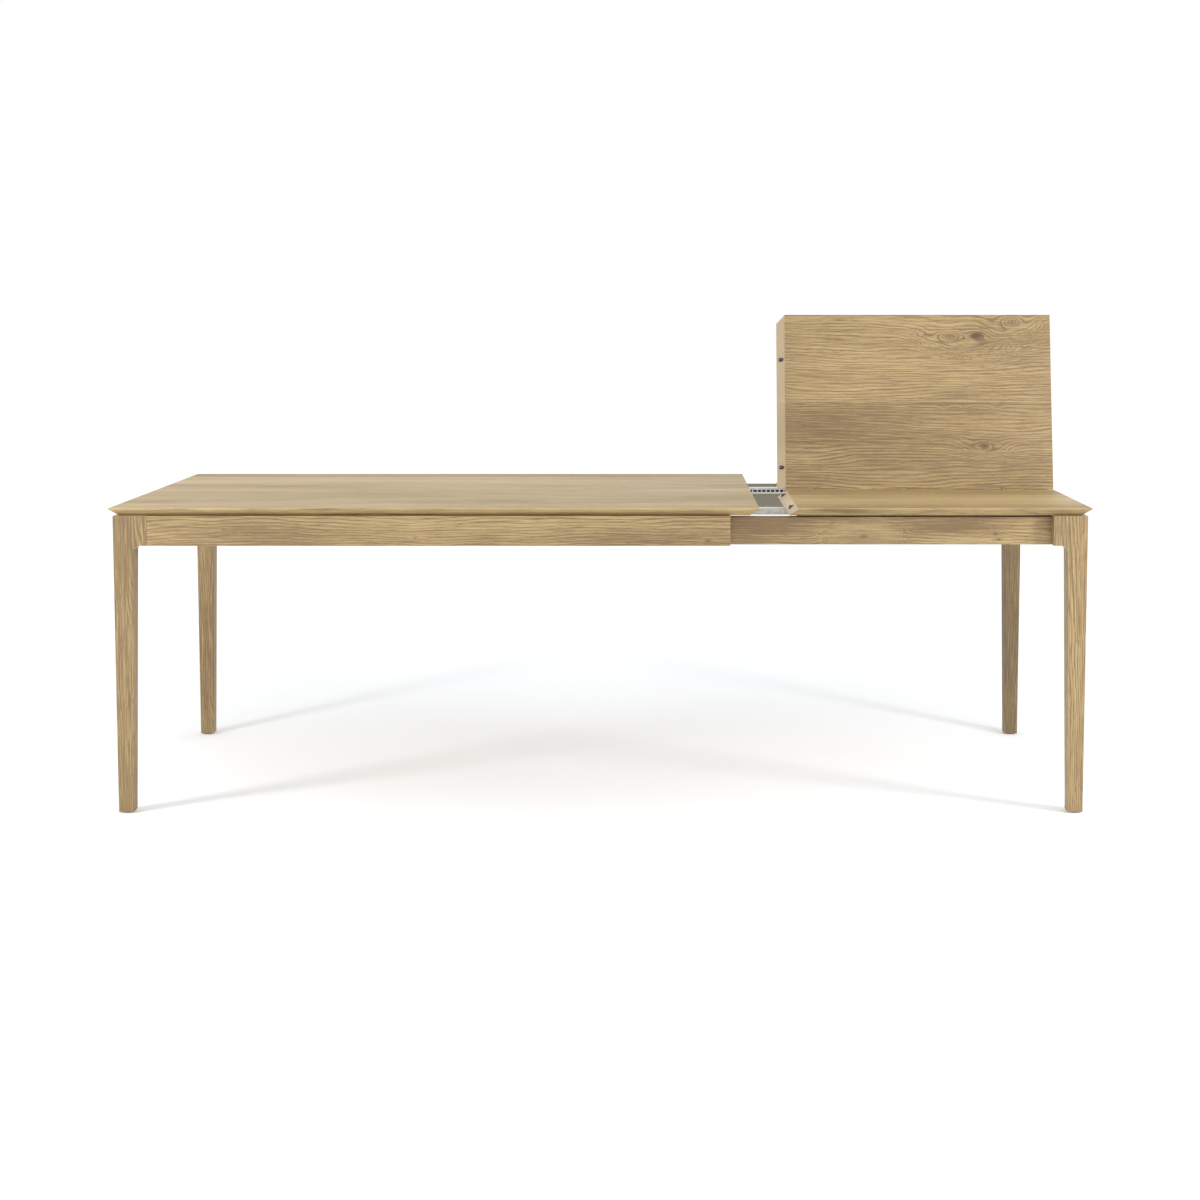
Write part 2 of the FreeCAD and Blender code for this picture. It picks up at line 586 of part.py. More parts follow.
# ---- Brackets that hold the main top down ---------------------------------------
def bracket_places():
    """Along the outer apron, in the part that the inner apron never reaches."""
    first = X_LEFT + LEG_INSET + LEG_HEAD_LENGTH + BRACKET_FIRST
    return [first + i * BRACKET_SPACING for i in range(BRACKET_COUNT)]


def bracket(x):
    """Angle bracket in the corner between the front apron and the main top."""
    y0 = -LEG_FACE_Y + APRON_THICKNESS
    x0, x1 = x - BRACKET_WIDTH / 2, x + BRACKET_WIDTH / 2
    upright = box(x0, x1, y0, y0 + BRACKET_THICKNESS, Z_UNDER - BRACKET_SIZE, Z_UNDER)
    flat = box(x0, x1, y0, y0 + BRACKET_SIZE, Z_UNDER - BRACKET_THICKNESS, Z_UNDER)
    return cut(upright.fuse(flat).removeSplitter(),
               bracket_screws_in_apron(SNUG) + bracket_screws_in_top(SNUG))


def bracket_screws_in_apron(grow=0.0):
    y = -LEG_FACE_Y + APRON_THICKNESS + BRACKET_THICKNESS
    places = [V(x, y, Z_UNDER - BRACKET_SCREW_PLACE) for x in bracket_places()]
    return screw_set(places, V(0, -1, 0), APRON_SCREW_LENGTH, SMALL_SCREW_RADIUS, grow)


def bracket_screws_in_top(grow=0.0):
    y = -LEG_FACE_Y + APRON_THICKNESS + BRACKET_SCREW_PLACE
    places = [V(x, y, Z_UNDER - BRACKET_THICKNESS) for x in bracket_places()]
    return screw_set(places, V(0, 0, 1), TOP_SCREW_LENGTH, SMALL_SCREW_RADIUS, grow)


# ---- Telescopic rails -----------------------------------------------------------
def mirrored_outline(half):
    """Close an outline given for +Y with its mirror image."""
    return half + [(-y, z) for y, z in reversed(half)]


def shifted(outline, dy):
    return [(y + dy, z) for y, z in outline]


def outer_rail():
    """Front outer rail: a channel, open downwards, let into the main top."""
    z_plate = Z_UNDER + OUTER_RAIL_PLATE
    z_low = Z_INNER_RAIL_BOTTOM + SLIDE_GAP
    deep = OUTER_WALL_Y + OUTER_RAIL_WALL / 2
    groove_low, groove_high = Z_BALLS - GROOVE_LIP, Z_BALLS + GROOVE_LIP
    half = [(OUTER_HALF_WIDTH, z_plate), (OUTER_HALF_WIDTH, z_low), (OUTER_WALL_Y, z_low),
            (OUTER_WALL_Y, groove_low), (deep, groove_low), (deep, groove_high),
            (OUTER_WALL_Y, groove_high), (OUTER_WALL_Y, Z_UNDER)]
    channel = yz_prism(shifted(mirrored_outline(half), -RAIL_Y),
                       X_OUTER_RAIL_START, X_OUTER_RAIL_END)
    return cut(channel, outer_rail_screws(SNUG) + [stop_screw(SNUG)])


def outer_rail_screws(grow=0.0):
    """Screws up through the channel's plate, heads flush with its underside."""
    first = X_OUTER_RAIL_START + RAIL_SCREW_END
    step = (X_OUTER_RAIL_END - RAIL_SCREW_END - first) / (RAIL_SCREW_COUNT - 1)
    places = [V(first + i * step, -RAIL_Y, Z_UNDER) for i in range(RAIL_SCREW_COUNT)]
    return screw_set(places, V(0, 0, 1), RAIL_SCREW_LENGTH, RAIL_SCREW_RADIUS, grow)


def inner_rail():
    """Front inner rail: a hollow bar with a ball groove along each side."""
    edge = RAIL_WIDTH / 2
    deep = edge - GROOVE_DEPTH
    groove_low, groove_high = Z_BALLS - GROOVE_LIP, Z_BALLS + GROOVE_LIP
    half = [(edge, Z_INNER_RAIL_TOP), (edge, groove_high), (deep, groove_high),
            (deep, groove_low), (edge, groove_low), (edge, Z_INNER_RAIL_BOTTOM)]
    bar = yz_prism(shifted(mirrored_outline(half), -RAIL_Y), X_INNER_RAIL_START, X_INNER_RAIL_END)
    core = box(X_INNER_RAIL_START - OVER, X_INNER_RAIL_END + OVER,
               -RAIL_Y - RAIL_CORE_WIDTH / 2, -RAIL_Y + RAIL_CORE_WIDTH / 2,
               Z_BALLS - RAIL_CORE_HEIGHT / 2, Z_BALLS + RAIL_CORE_HEIGHT / 2)
    return cut(bar, [core] + block_screws(SNUG))


def cage_start():
    return X_MAIN_END - CAGE_OVERLAP


def window_x(i):
    """Middle of a cage window along X."""
    return cage_start() + CAGE_END + WINDOW_PITCH * i


def ball_places():
    """Every few windows, in the part of the cage that the outer rail always covers."""
    places = [window_x(i) for i in range(1, WINDOW_COUNT, WINDOWS_PER_BALL)]
    return [x for x in places if x < X_OUTER_RAIL_END - WINDOW_PITCH]


def cage_strip(side):
    """One strip of the front rail's cage; side picks the rail's outward or inward side.
    The inward strip has long windows, and the outward one has round pockets."""
    y = -RAIL_Y + side * BALL_Y
    length = WINDOW_PITCH * (WINDOW_COUNT - 1) + 2 * CAGE_END
    half = WINDOW_HALF_HEIGHT + CAGE_RIM
    strip = box(cage_start(), cage_start() + length, y - CAGE_THICKNESS / 2,
                y + CAGE_THICKNESS / 2, Z_BALLS - half, Z_BALLS + half)
    if side < 0:
        return cut(strip, [rod(V(x, y - CAGE_THICKNESS, Z_BALLS), V(0, 1, 0),
                               WINDOW_HALF_HEIGHT, 2 * CAGE_THICKNESS) for x in ball_places()])
    windows = []
    for i in range(WINDOW_COUNT):
        x0 = window_x(i) - WINDOW_LENGTH / 2
        windows.append(box(x0, x0 + WINDOW_LENGTH, y - CAGE_THICKNESS, y + CAGE_THICKNESS,
                           Z_BALLS - WINDOW_HALF_HEIGHT, Z_BALLS + WINDOW_HALF_HEIGHT))
    return cut(strip, windows)


def rail_balls(side):
    y = -RAIL_Y + side * BALL_Y
    return [Part.makeSphere(BALL_RADIUS, V(x, y, Z_BALLS)) for x in ball_places()]


def rail_stop():
    """Block in the closed end of the outer rail that the inner rail comes up to."""
    half = OUTER_WALL_Y - SLIDE_GAP
    block = box(X_OUTER_RAIL_START, X_OUTER_RAIL_START + RAIL_STOP_LENGTH, -RAIL_Y - half,
                -RAIL_Y + half, Z_INNER_RAIL_BOTTOM + SLIDE_GAP, Z_UNDER)
    return cut(block, [stop_screw(SNUG)])


def stop_screw(grow=0.0):
    x = X_OUTER_RAIL_START + RAIL_STOP_LENGTH / 2
    return wood_screw(V(x, -RAIL_Y, Z_INNER_RAIL_BOTTOM + SLIDE_GAP), V(0, 0, 1),
                      STOP_SCREW_LENGTH, RAIL_SCREW_RADIUS, grow)


def rail_plug():
    """Plastic plug in the free end of the inner rail."""
    x = X_INNER_RAIL_START
    cap = box(x - PLUG_CAP_THICKNESS, x, -RAIL_Y - RAIL_WIDTH / 2, -RAIL_Y + RAIL_WIDTH / 2,
              Z_INNER_RAIL_BOTTOM, Z_INNER_RAIL_TOP)
    half_w = RAIL_CORE_WIDTH / 2 - SNUG
    half_h = RAIL_CORE_HEIGHT / 2 - SNUG
    core = box(x, x + PLUG_CORE_LENGTH, -RAIL_Y - half_w, -RAIL_Y + half_w,
               Z_BALLS - half_h, Z_BALLS + half_h)
    return cap.fuse(core).removeSplitter()


# ---- Cross bars of the part that pulls out --------------------------------------
def bar_places():
    """Middles of the free-end, middle and leg-end bars."""
    return [X_INNER_RAIL_START + BAR_FREE_END_INSET, X_LEAF + BAR_MIDDLE_INSET,
            X_RIGHT - BAR_LEG_END_INSET]


def cross_bar(x):
    """Bar between the inner aprons; the folded leaf lies on these for storage."""
    bar = box(x - CROSS_BAR_WIDTH / 2, x + CROSS_BAR_WIDTH / 2, -INNER_APRON_BACK_Y,
              INNER_APRON_BACK_Y, Z_BAR, Z_BAR + CROSS_BAR_HEIGHT)
    tools = bar_dowels(SNUG) + block_screws(SNUG)
    return cut(bar, tools + [to_back(t) for t in tools])


def bar_dowels(grow=0.0):
    """Dowels that join the bars' ends to the front inner apron."""
    z = Z_BAR + CROSS_BAR_HEIGHT / 2
    y = -INNER_APRON_BACK_Y - BAR_DOWEL_IN_APRON - grow
    half = BAR_DOWEL_SPACING / 2
    places = [V(x + dx, y, z) for x in bar_places() for dx in (-half, half)]
    return [rod(place, V(0, 1, 0), JOINT_DOWEL_RADIUS + grow, BAR_DOWEL_LENGTH + 2 * grow)
            for place in places]


def rail_block(x):
    """Block that carries the front inner rail on a cross bar."""
    block = box(x - BLOCK_LENGTH / 2, x + BLOCK_LENGTH / 2, -RAIL_Y - BLOCK_WIDTH / 2,
                -RAIL_Y + BLOCK_WIDTH / 2, Z_BAR + CROSS_BAR_HEIGHT, Z_INNER_RAIL_BOTTOM)
    return cut(block, block_screws(SNUG))


def block_screws(grow=0.0):
    """Screws up through bar, block and the lower wall of the front inner rail."""
    length = Z_INNER_RAIL_BOTTOM - Z_BAR + (RAIL_HEIGHT - RAIL_CORE_HEIGHT) / 2
    half = BLOCK_SCREW_SPACING / 2
    places = [V(x + dx, -RAIL_Y, Z_BAR) for x in bar_places() for dx in (-half, half)]
    return screw_set(places, V(0, 0, 1), length, SCREW_RADIUS, grow)


# ---- Assembly -------------------------------------------------------------------
def both_sides(solids):
    return solids + [to_back(s) for s in solids]


def build_main_frame():
    left_leg = cut(leg(0.0), main_dowels(SNUG))
    brace = corner_brace(LEG_INSET + APRON_THICKNESS, LEG_INSET + APRON_THICKNESS)
    top_tools = outer_rail_screws(SNUG) + bracket_screws_in_top(SNUG)
    top_tools += top_dowels(SNUG) + [stop_screw(SNUG)]
    save("main_top", cut(main_top(), both_sides(top_tools)))
    save("leg_front_left", left_leg)
    save("leg_back_left", to_back(left_leg))
    save("outer_apron_front", outer_apron())
    save("outer_apron_back", to_back(outer_apron()))
    save("end_apron_left", end_apron(Z_UNDER, main_dowels(SNUG)))
    save("joint_dowels_left", *both_sides(main_dowels()))
    save("corner_braces_left", *both_sides([brace]))
    save("corner_bolts_left", *both_sides([corner_bolt()]))
    save("foot_glides_left", *both_sides([foot_glide()]))
    save("apron_guides", *both_sides([apron_guide()]))
    save("apron_guide_screws", *both_sides(guide_screws()))
    save("top_brackets", *both_sides([bracket(x) for x in bracket_places()]))
    save("top_bracket_screws", *both_sides(bracket_screws_in_apron() + bracket_screws_in_top()))
    save("outer_rail_front", outer_rail())
    save("outer_rail_back", to_back(outer_rail()))
    save("outer_rail_screws", *both_sides(outer_rail_screws() + [stop_screw()]))
    save("outer_rail_stops", *both_sides([rail_stop()]))
    save("top_dowels", *both_sides(top_dowels()))


def build_extension_frame():
    right_leg = cut(to_right(leg(REST_GAP)), extension_dowels(SNUG))
    brace_insets = (HALF_WIDTH - INNER_APRON_BACK_Y, LEG_INSET + APRON_THICKNESS)
    brace = to_right(corner_brace(*brace_insets))
    end_dowels = [to_right(d) for d in extension_dowels(SNUG)]
    save("leg_front_right", right_leg)
    save("leg_back_right", to_back(right_leg))
    save("inner_apron_front", inner_apron())
    save("inner_apron_back", to_back(inner_apron()))
    save("leaf_bearers", *both_sides([leaf_bearer()]))
    save("end_apron_right", to_right(end_apron(Z_UNDER - REST_GAP, end_dowels)))
    save("joint_dowels_right", *both_sides(extension_dowels()))
    save("corner_braces_right", *both_sides([brace]))
    save("corner_bolts_right", *both_sides([to_right(corner_bolt())]))
    save("foot_glides_right", *both_sides([to_right(foot_glide())]))
    save("inner_rail_front", inner_rail())
    save("inner_rail_back", to_back(inner_rail()))
    save("inner_rail_plugs", *both_sides([rail_plug()]))
    for name, x in zip(("free_end", "middle", "leg_end"), bar_places()):
        save("cross_bar_" + name, cross_bar(x))
    save("rail_blocks", *both_sides([rail_block(x) for x in bar_places()]))
    save("rail_block_screws", *both_sides(block_screws()))
    save("cross_bar_dowels", *both_sides(bar_dowels()))


def build_ball_cages():
    cage = [cage_strip(-1), cage_strip(1)]
    save("ball_cage_front", *cage)
    save("ball_cage_back", *[to_back(strip) for strip in cage])
    save("rail_balls", *both_sides(rail_balls(-1) + rail_balls(1)))


def build_leaf():
    save("leaf_front", leaf_board(-1))
    save("hinge_plates_front", *[hinge_plate(x, -1) for x in hinge_places()])
    save("hinge_screws_front", *hinge_screws(-1))
    save("hinge_pins", *[hinge_pin(x) for x in hinge_places()])
    save("alignment_pins_front", *[alignment_pin(-y) for y in pin_rows()])
    save("leaf_back", stand_up(leaf_board(1)))
    save("hinge_plates_back", *[stand_up(hinge_plate(x, 1)) for x in hinge_places()])
    save("hinge_screws_back", *[stand_up(s) for s in hinge_screws(1)])
    save("alignment_pins_back", *[stand_up(alignment_pin(y)) for y in pin_rows()])


build_main_frame()
build_extension_frame()
build_ball_cages()
build_leaf()
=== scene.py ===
"""Extending oak dining table with a folding leaf: its wood, metal and studio."""

import math

import bmesh
import bpy
from bpy.props import FloatProperty, FloatVectorProperty, IntProperty, PointerProperty
from mathutils import Matrix, Vector


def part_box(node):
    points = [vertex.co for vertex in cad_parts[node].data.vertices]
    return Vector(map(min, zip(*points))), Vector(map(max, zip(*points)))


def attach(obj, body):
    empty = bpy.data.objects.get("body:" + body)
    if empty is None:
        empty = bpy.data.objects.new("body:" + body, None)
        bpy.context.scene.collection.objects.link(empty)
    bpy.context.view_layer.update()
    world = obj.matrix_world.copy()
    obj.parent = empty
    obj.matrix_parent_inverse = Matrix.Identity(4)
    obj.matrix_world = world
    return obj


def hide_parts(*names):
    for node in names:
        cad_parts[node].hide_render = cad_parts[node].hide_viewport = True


bl_info = {
    "name": "Extending oak table",
    "version": (1, 0, 0),
    "blender": (4, 5, 0),
    "location": "View3D > Sidebar > Table",
    "description": "Builds the boards, legs, aprons and finishes of an extending oak table",
    "category": "Object",
}

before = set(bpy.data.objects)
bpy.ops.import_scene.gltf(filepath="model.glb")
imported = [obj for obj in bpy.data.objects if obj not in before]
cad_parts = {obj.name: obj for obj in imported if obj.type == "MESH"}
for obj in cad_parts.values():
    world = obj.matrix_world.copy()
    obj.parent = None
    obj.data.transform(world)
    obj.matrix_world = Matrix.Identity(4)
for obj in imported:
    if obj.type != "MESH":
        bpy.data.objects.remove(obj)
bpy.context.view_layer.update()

HINGE_LINE = Vector((0.0, 0.0, 0.7605))     # the leaf's back half turns about this line, along X
FOLD_LEAN = math.radians(8.5)               # how far the standing half leans back
STAND = math.radians(90.0) - FOLD_LEAN
OVER = 0.001                                # how far a cutter runs past what it cuts
SHARP = 0.35                                # radians between the faces of an edge to soften

PIN_RADIUS = 0.005                          # the leaf's alignment pins
PIN_ROOT_RADIUS = 0.00505                   # their holes in the leaf's lip
PIN_ROOT_DEPTH = 0.058
PIN_ROOT_MIDDLE = 0.006                     # the lip's foot to the middle of a pin's hole
SOCKET_RADIUS = 0.0055                      # the holes that take them in the main top
SOCKET_DEPTH = 0.040
SOCKET_MIDDLE = 0.016                       # the main top's end to the middle of a socket
POCKET_SLACK = Vector((0.0005, 0.00025))    # round an outer rail in its pocket, along X and Y
HINGE_COUNT = 3
HINGE_LENGTH = 0.060
MORTISE_REACH = 0.00235                     # how deep a hinge plate's mortise goes into a half
MORTISE_END_SLACK = 0.00035
MORTISE_FLOOR_SLACK = 0.00005
KNUCKLE_RADIUS = 0.00335                    # the hollow for a hinge's knuckle
RELIEF_LENGTH = 0.023                       # the back half's lip, cut short beside the seam
RELIEF_WIDTH = 0.00366

CAMERA_PLACE = (0.1331, -5.2868, 1.2735)    # in front of the table, a little above its leaf
CAMERA_PITCH = 0.04                         # radians that it looks down
CAMERA_SHIFT = (-0.0454, -0.1853)           # of the frame, which sets the table in its middle


def linear(hex_code):
    """sRGB hex code as a linear RGBA colour."""
    channels = [int(hex_code[i:i + 2], 16) / 255 for i in (0, 2, 4)]
    return [c / 12.92 if c <= 0.04045 else ((c + 0.055) / 1.055) ** 2.4 for c in channels] + [1.0]


def length(name, description, default):
    return FloatProperty(name=name, description=description, default=default, min=0.0,
                         unit="LENGTH", subtype="DISTANCE", precision=4)


def colour(name, description, hex_code):
    return FloatVectorProperty(name=name, description=description, default=linear(hex_code),
                               size=4, min=0.0, max=1.0, subtype="COLOR")


class TableSizes(bpy.types.PropertyGroup):
    """Shapes of the edges and joints, beyond what the frame gives."""

    edge_land: length("Edge land", "Upright part of a board's edge, above its bevel", 0.003)
    edge_bevel: length("Edge bevel", "How far the bevel runs in under a board", 0.022)
    arris: length("Arris", "Width of the softening along a piece's edges", 0.0009)
    knee_radius: length("Knee radius", "Hollow between a leg's shaft and its knees", 0.016)
    knee_length: length("Knee length", "How far a knee runs out from the leg's shaft", 0.034)
    leg_thickness: length("Leg thickness", "Leg's shaft, across its top", 0.050)
    foot_thickness: length("Foot thickness", "Leg's shaft, across its foot", 0.037)
    knee_segments: IntProperty(name="Knee segments", description="Flats along a knee's hollow",
                               default=8, min=2)


class TableColours(bpy.types.PropertyGroup):
    """Colours of the oak and of what goes with it."""

    oak_light: colour("Oak, light", "Latewood and pale staves", "C1A87C")
    oak_middle: colour("Oak, middle", "Most of the wood", "A18A5F")
    oak_dark: colour("Oak, dark", "Growth-ring lines and dark staves", "735C3D")
    oak_knot: colour("Oak, knot", "Heart of a knot", "4F3A22")
    oak_end: colour("Oak, end grain", "Faces across the grain", "C4B095")
    # Painted shade: the darker, greyer colour of the inner aprons' inner faces, which lie in shade
    # under the boards.
    oak_inner_shade: colour("Oak, bare", "Inner faces with no oil", "8E8B7B")
    beech_light: colour("Beech, light", "Beech between its flecks", "D9B88F")
    beech_dark: colour("Beech, dark", "Rays and fine lines of beech", "B98F63")
    aluminium: colour("Aluminium", "Anodised rails", "E6E7E8")
    steel: colour("Steel", "Polished balls", "B9BDC0")
    zinc: colour("Zinc", "Zinc-plated screws, bolts and brackets", "B4B8BC")
    cage: colour("Ball cages", "Galvanised strips of the ball cages", "E4E4E0")
    # Painted shade: the pins are given this dark colour to stand for the shade under them.
    pins: colour("Alignment pins", "Blackened steel pins", "5C5A57")
    brass: colour("Brass", "Aged brass hinges", "A48C60")
    nylon: colour("Nylon", "Pads, plugs and glides", "3B3834")
    # Painted shade: a near-black colour for the ball grooves, which lie in shade behind the cages.
    groove_shade: colour("Grease", "Dark grease in the ball grooves", "14120F")


class StudioSettings(bpy.types.PropertyGroup):
    """Floor, lights and camera."""

    floor: colour("Floor", "Pale studio floor", "E4E6E8")
    world_strength: FloatProperty(name="Surrounding light", description="Even light all round",
                                  default=1.0, min=0.0)
    key_power: FloatProperty(name="Key light", description="Large soft light at the front right",
                             default=44.0, min=0.0, unit="POWER")
    side_power: FloatProperty(name="Side lights", description="Soft lights at the table's ends",
                              default=36.0, min=0.0, unit="POWER")
    lens: FloatProperty(name="Lens", description="Focal length on a 36 mm sensor", default=59.0,
                        min=1.0, unit="CAMERA")


# ---- Modelling helpers ------------------------------------------------------------
def start_block(name, low, high):
    """A cube grown to the box from low to high, with its place kept in its mesh."""
    bpy.ops.object.select_all(action="DESELECT")
    low, high = Vector(low), Vector(high)
    bpy.ops.mesh.primitive_cube_add(size=1.0, location=(low + high) / 2)
    block = bpy.context.object
    block.scale = high - low
    block.name = name
    block.data.name = name
    bpy.ops.object.transform_apply(location=True, rotation=True, scale=True)
    return block


def start_rod(centre, radius, depth, turn):
    """A 32-sided rod round its centre, with its place kept in its mesh."""
    bpy.ops.object.select_all(action="DESELECT")
    bpy.ops.mesh.primitive_cylinder_add(vertices=32, radius=radius, depth=depth, location=centre,
                                        rotation=turn)
    rod = bpy.context.object
    bpy.ops.object.transform_apply(location=True, rotation=True, scale=True)
    return rod


def focus(piece):
    """Makes the piece the only one selected, and the active one."""
    bpy.ops.object.select_all(action="DESELECT")
    piece.select_set(True)
    bpy.context.view_layer.objects.active = piece


def pick(piece, kind, test):
    """In edit mode, selects the FACE, EDGE or VERT elements for which test says yes."""
    bpy.ops.mesh.select_mode(type=kind)
    bpy.ops.mesh.select_all(action="DESELECT")
    mesh = bmesh.from_edit_mesh(piece.data)
    elements = {"FACE": mesh.faces, "EDGE": mesh.edges, "VERT": mesh.verts}[kind]
    for element in elements:
        if test(element):
            element.select_set(True)
    bmesh.update_edit_mesh(piece.data)


def soften(piece, width):
    """Bevels every sharp edge of the piece in edit mode, and leaves edit mode."""
    pick(piece, "EDGE", lambda e: len(e.link_faces) == 2 and e.calc_face_angle() > SHARP)
    bpy.ops.mesh.bevel(offset=width, segments=2, affect="EDGES")
    bpy.ops.object.mode_set(mode="OBJECT")


def carve(piece, cutters):
    """Takes the cutters out of the piece, and removes them."""
    for cutter in cutters:
        focus(piece)
        hole = piece.modifiers.new("hole", "BOOLEAN")
        hole.object = cutter
        hole.operation = "DIFFERENCE"
        bpy.ops.object.modifier_apply(modifier=hole.name)
        bpy.data.objects.remove(cutter)


def lie_place(piece, matrix):
    """Moves a finished piece by the matrix, and keeps its new place in its mesh."""
    focus(piece)
    piece.matrix_world = matrix
    bpy.ops.object.transform_apply(location=True, rotation=True, scale=True)


def mirrored_copy(piece, name, axis):
    """A copy with its own mesh on the other side of the table, its faces turned outwards."""
    focus(piece)
    bpy.ops.object.duplicate(linked=False)
    twin = bpy.context.object
    twin.name = name
    twin.data.name = name
    twin.scale[axis] = -1.0
    bpy.ops.object.transform_apply(location=True, rotation=True, scale=True)
    bpy.ops.object.mode_set(mode="EDIT")
    bpy.ops.mesh.select_all(action="SELECT")
    bpy.ops.mesh.remove_doubles(threshold=0.000001)
    bpy.ops.mesh.normals_make_consistent(inside=False)
    bpy.ops.object.mode_set(mode="OBJECT")
    return twin


def finish_piece(piece, node, body, material):
    """Smooths the piece's small bevels only, and rides it on its body, in the place of its
    CAD node, with its material."""
    focus(piece)
    bpy.ops.object.shade_smooth_by_angle(angle=math.radians(35))
    flat = piece.modifiers.new("flat", "WEIGHTED_NORMAL")
    flat.keep_sharp = True
    bpy.ops.object.modifier_apply(modifier=flat.name)
    piece.data.materials.clear()
    piece.data.materials.append(material)
    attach(piece, body)
    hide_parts(node)


# ---- Material helpers -------------------------------------------------------------
def add(tree, kind, inputs=None, stops=None, **settings):
    """Adds a node with its settings, and links or sets its inputs; a node stands for its output."""
    made = tree.nodes.new("ShaderNode" + kind)
    for key, value in settings.items():
        setattr(made, key, value)
    for key, value in (inputs or {}).items():
        if isinstance(value, bpy.types.Node):
            value = next(o for o in value.outputs if o.enabled)
        if isinstance(value, bpy.types.NodeSocket):
            tree.links.new(value, made.inputs[key])
        else:
            made.inputs[key].default_value = value
    if stops:
        ramp = made.color_ramp.elements
        while len(ramp) < len(stops):
            ramp.new(1.0)
        for element, (position, shade) in zip(ramp, stops):
            element.position = position
            element.color = shade
    return made


def start_material(name):
    """A new material and its empty node tree."""
    material = bpy.data.materials.new(name)
    material.use_nodes = True
    material.node_tree.nodes.clear()
    return material, material.node_tree


def finish_material(tree, shader):
    add(tree, "OutputMaterial", {"Surface": shader})


def grey(value):
    return (value, value, value, 1.0)


FLAT = (0.0, 0.0, 0.0)                          # grain along X, face upwards
ON_EDGE = (math.radians(-90), 0.0, 0.0)         # grain along X, face to the front
UPRIGHT = (0.0, math.radians(90), 0.0)          # grain along Z
CROSSWISE = (0.0, 0.0, math.radians(-90))       # grain along Y
ALONG_X, ALONG_Y, ALONG_Z = (1.0, 0.0, 0.0), (0.0, 1.0, 0.0), (0.0, 0.0, 1.0)


def oak_figure(tree, board):
    """The wood's uneven patterns at four sizes, each stretched along the grain."""
    patterns = (
        # Slow waves of the growth rings, about 400 mm long and 80 mm across.
        ((2.0, 9.0, 9.0), 2.0, 0.45),
        # Small wobble of each line, about 60 mm long and 14 mm across.
        ((16.0, 70.0, 70.0), 3.0, 0.55),
        # Fibres, drawn at 1.8 mm across: real ones are finer than the render shows.
        ((12.0, 560.0, 560.0), 4.0, 0.62),
        # Open pores, drawn at 1 mm across and 25 mm long for the same reason.
        ((40.0, 1000.0, 1000.0), 1.0, 0.5))
    noises = []
    for stretch, detail, roughness in patterns:
        stretched = add(tree, "VectorMath", {0: board, 1: stretch}, operation="MULTIPLY")
        noises.append(add(tree, "TexNoise", {"Vector": stretched, "Scale": 1.0, "Detail": detail,
                                             "Roughness": roughness}))
    return noises


def squeezed_offset(tree, place, middle, half_length, half_width):
    """How far a place is from the middle, in half sizes along and across the grain."""
    offset = add(tree, "VectorMath", {0: place, 1: middle}, operation="SUBTRACT")
    return add(tree, "VectorMath", {0: offset, 1: (1 / half_length, 1 / half_width, 0.0)},
               operation="MULTIPLY")


def part_round_knots(tree, place, wobble, across, knots):
    """Bends the lines round each knot. Returns the bent lines, the knots' hearts, and how
    near the closest knot is."""
    heart = nearness = None
    for middle, half_length, half_width, darkness in knots:
        squeezed = squeezed_offset(tree, place, middle, half_length, half_width)
        uneven = add(tree, "Math", {0: wobble, 1: 0.5, 2: 0.75}, operation="MULTIPLY_ADD")
        length_off = add(tree, "VectorMath", {0: squeezed}, operation="LENGTH").outputs["Value"]
        distance = add(tree, "Math", {0: length_off, 1: uneven}, operation="MULTIPLY")
        square = add(tree, "Math", {0: distance, 1: distance}, operation="MULTIPLY")
        fall = add(tree, "Math", {0: square, 1: -0.55}, operation="MULTIPLY")
        pull = add(tree, "Math", {0: fall}, operation="EXPONENT")
        # Near the knot's middle the lines are drawn to its own line, and ring it instead.
        rise = add(tree, "Math", {0: middle[1], 1: across}, operation="SUBTRACT")
        across = add(tree, "Math", {0: rise, 1: pull, 2: across}, operation="MULTIPLY_ADD")
        spread = add(tree, "Math", {0: distance, 1: half_width * 1.9}, operation="MULTIPLY")
        across = add(tree, "Math", {0: spread, 1: pull, 2: across}, operation="MULTIPLY_ADD")
        core = add(tree, "MapRange", {"Value": distance, "From Min": 0.42, "From Max": 0.10,
                                      "To Min": 0.0, "To Max": darkness},
                   interpolation_type="SMOOTHSTEP")
        halo = add(tree, "MapRange", {"Value": distance, "From Min": 1.5, "From Max": 0.45,
                                      "To Min": 0.0, "To Max": 0.30 * darkness},
                   interpolation_type="SMOOTHSTEP")
        both = add(tree, "Math", {0: core, 1: halo}, operation="ADD")
        if heart is None:
            heart, nearness = both, pull
        else:
            heart = add(tree, "Math", {0: heart, 1: both}, operation="ADD")
            nearness = add(tree, "Math", {0: nearness, 1: pull}, operation="MAXIMUM")
    return across, heart, nearness


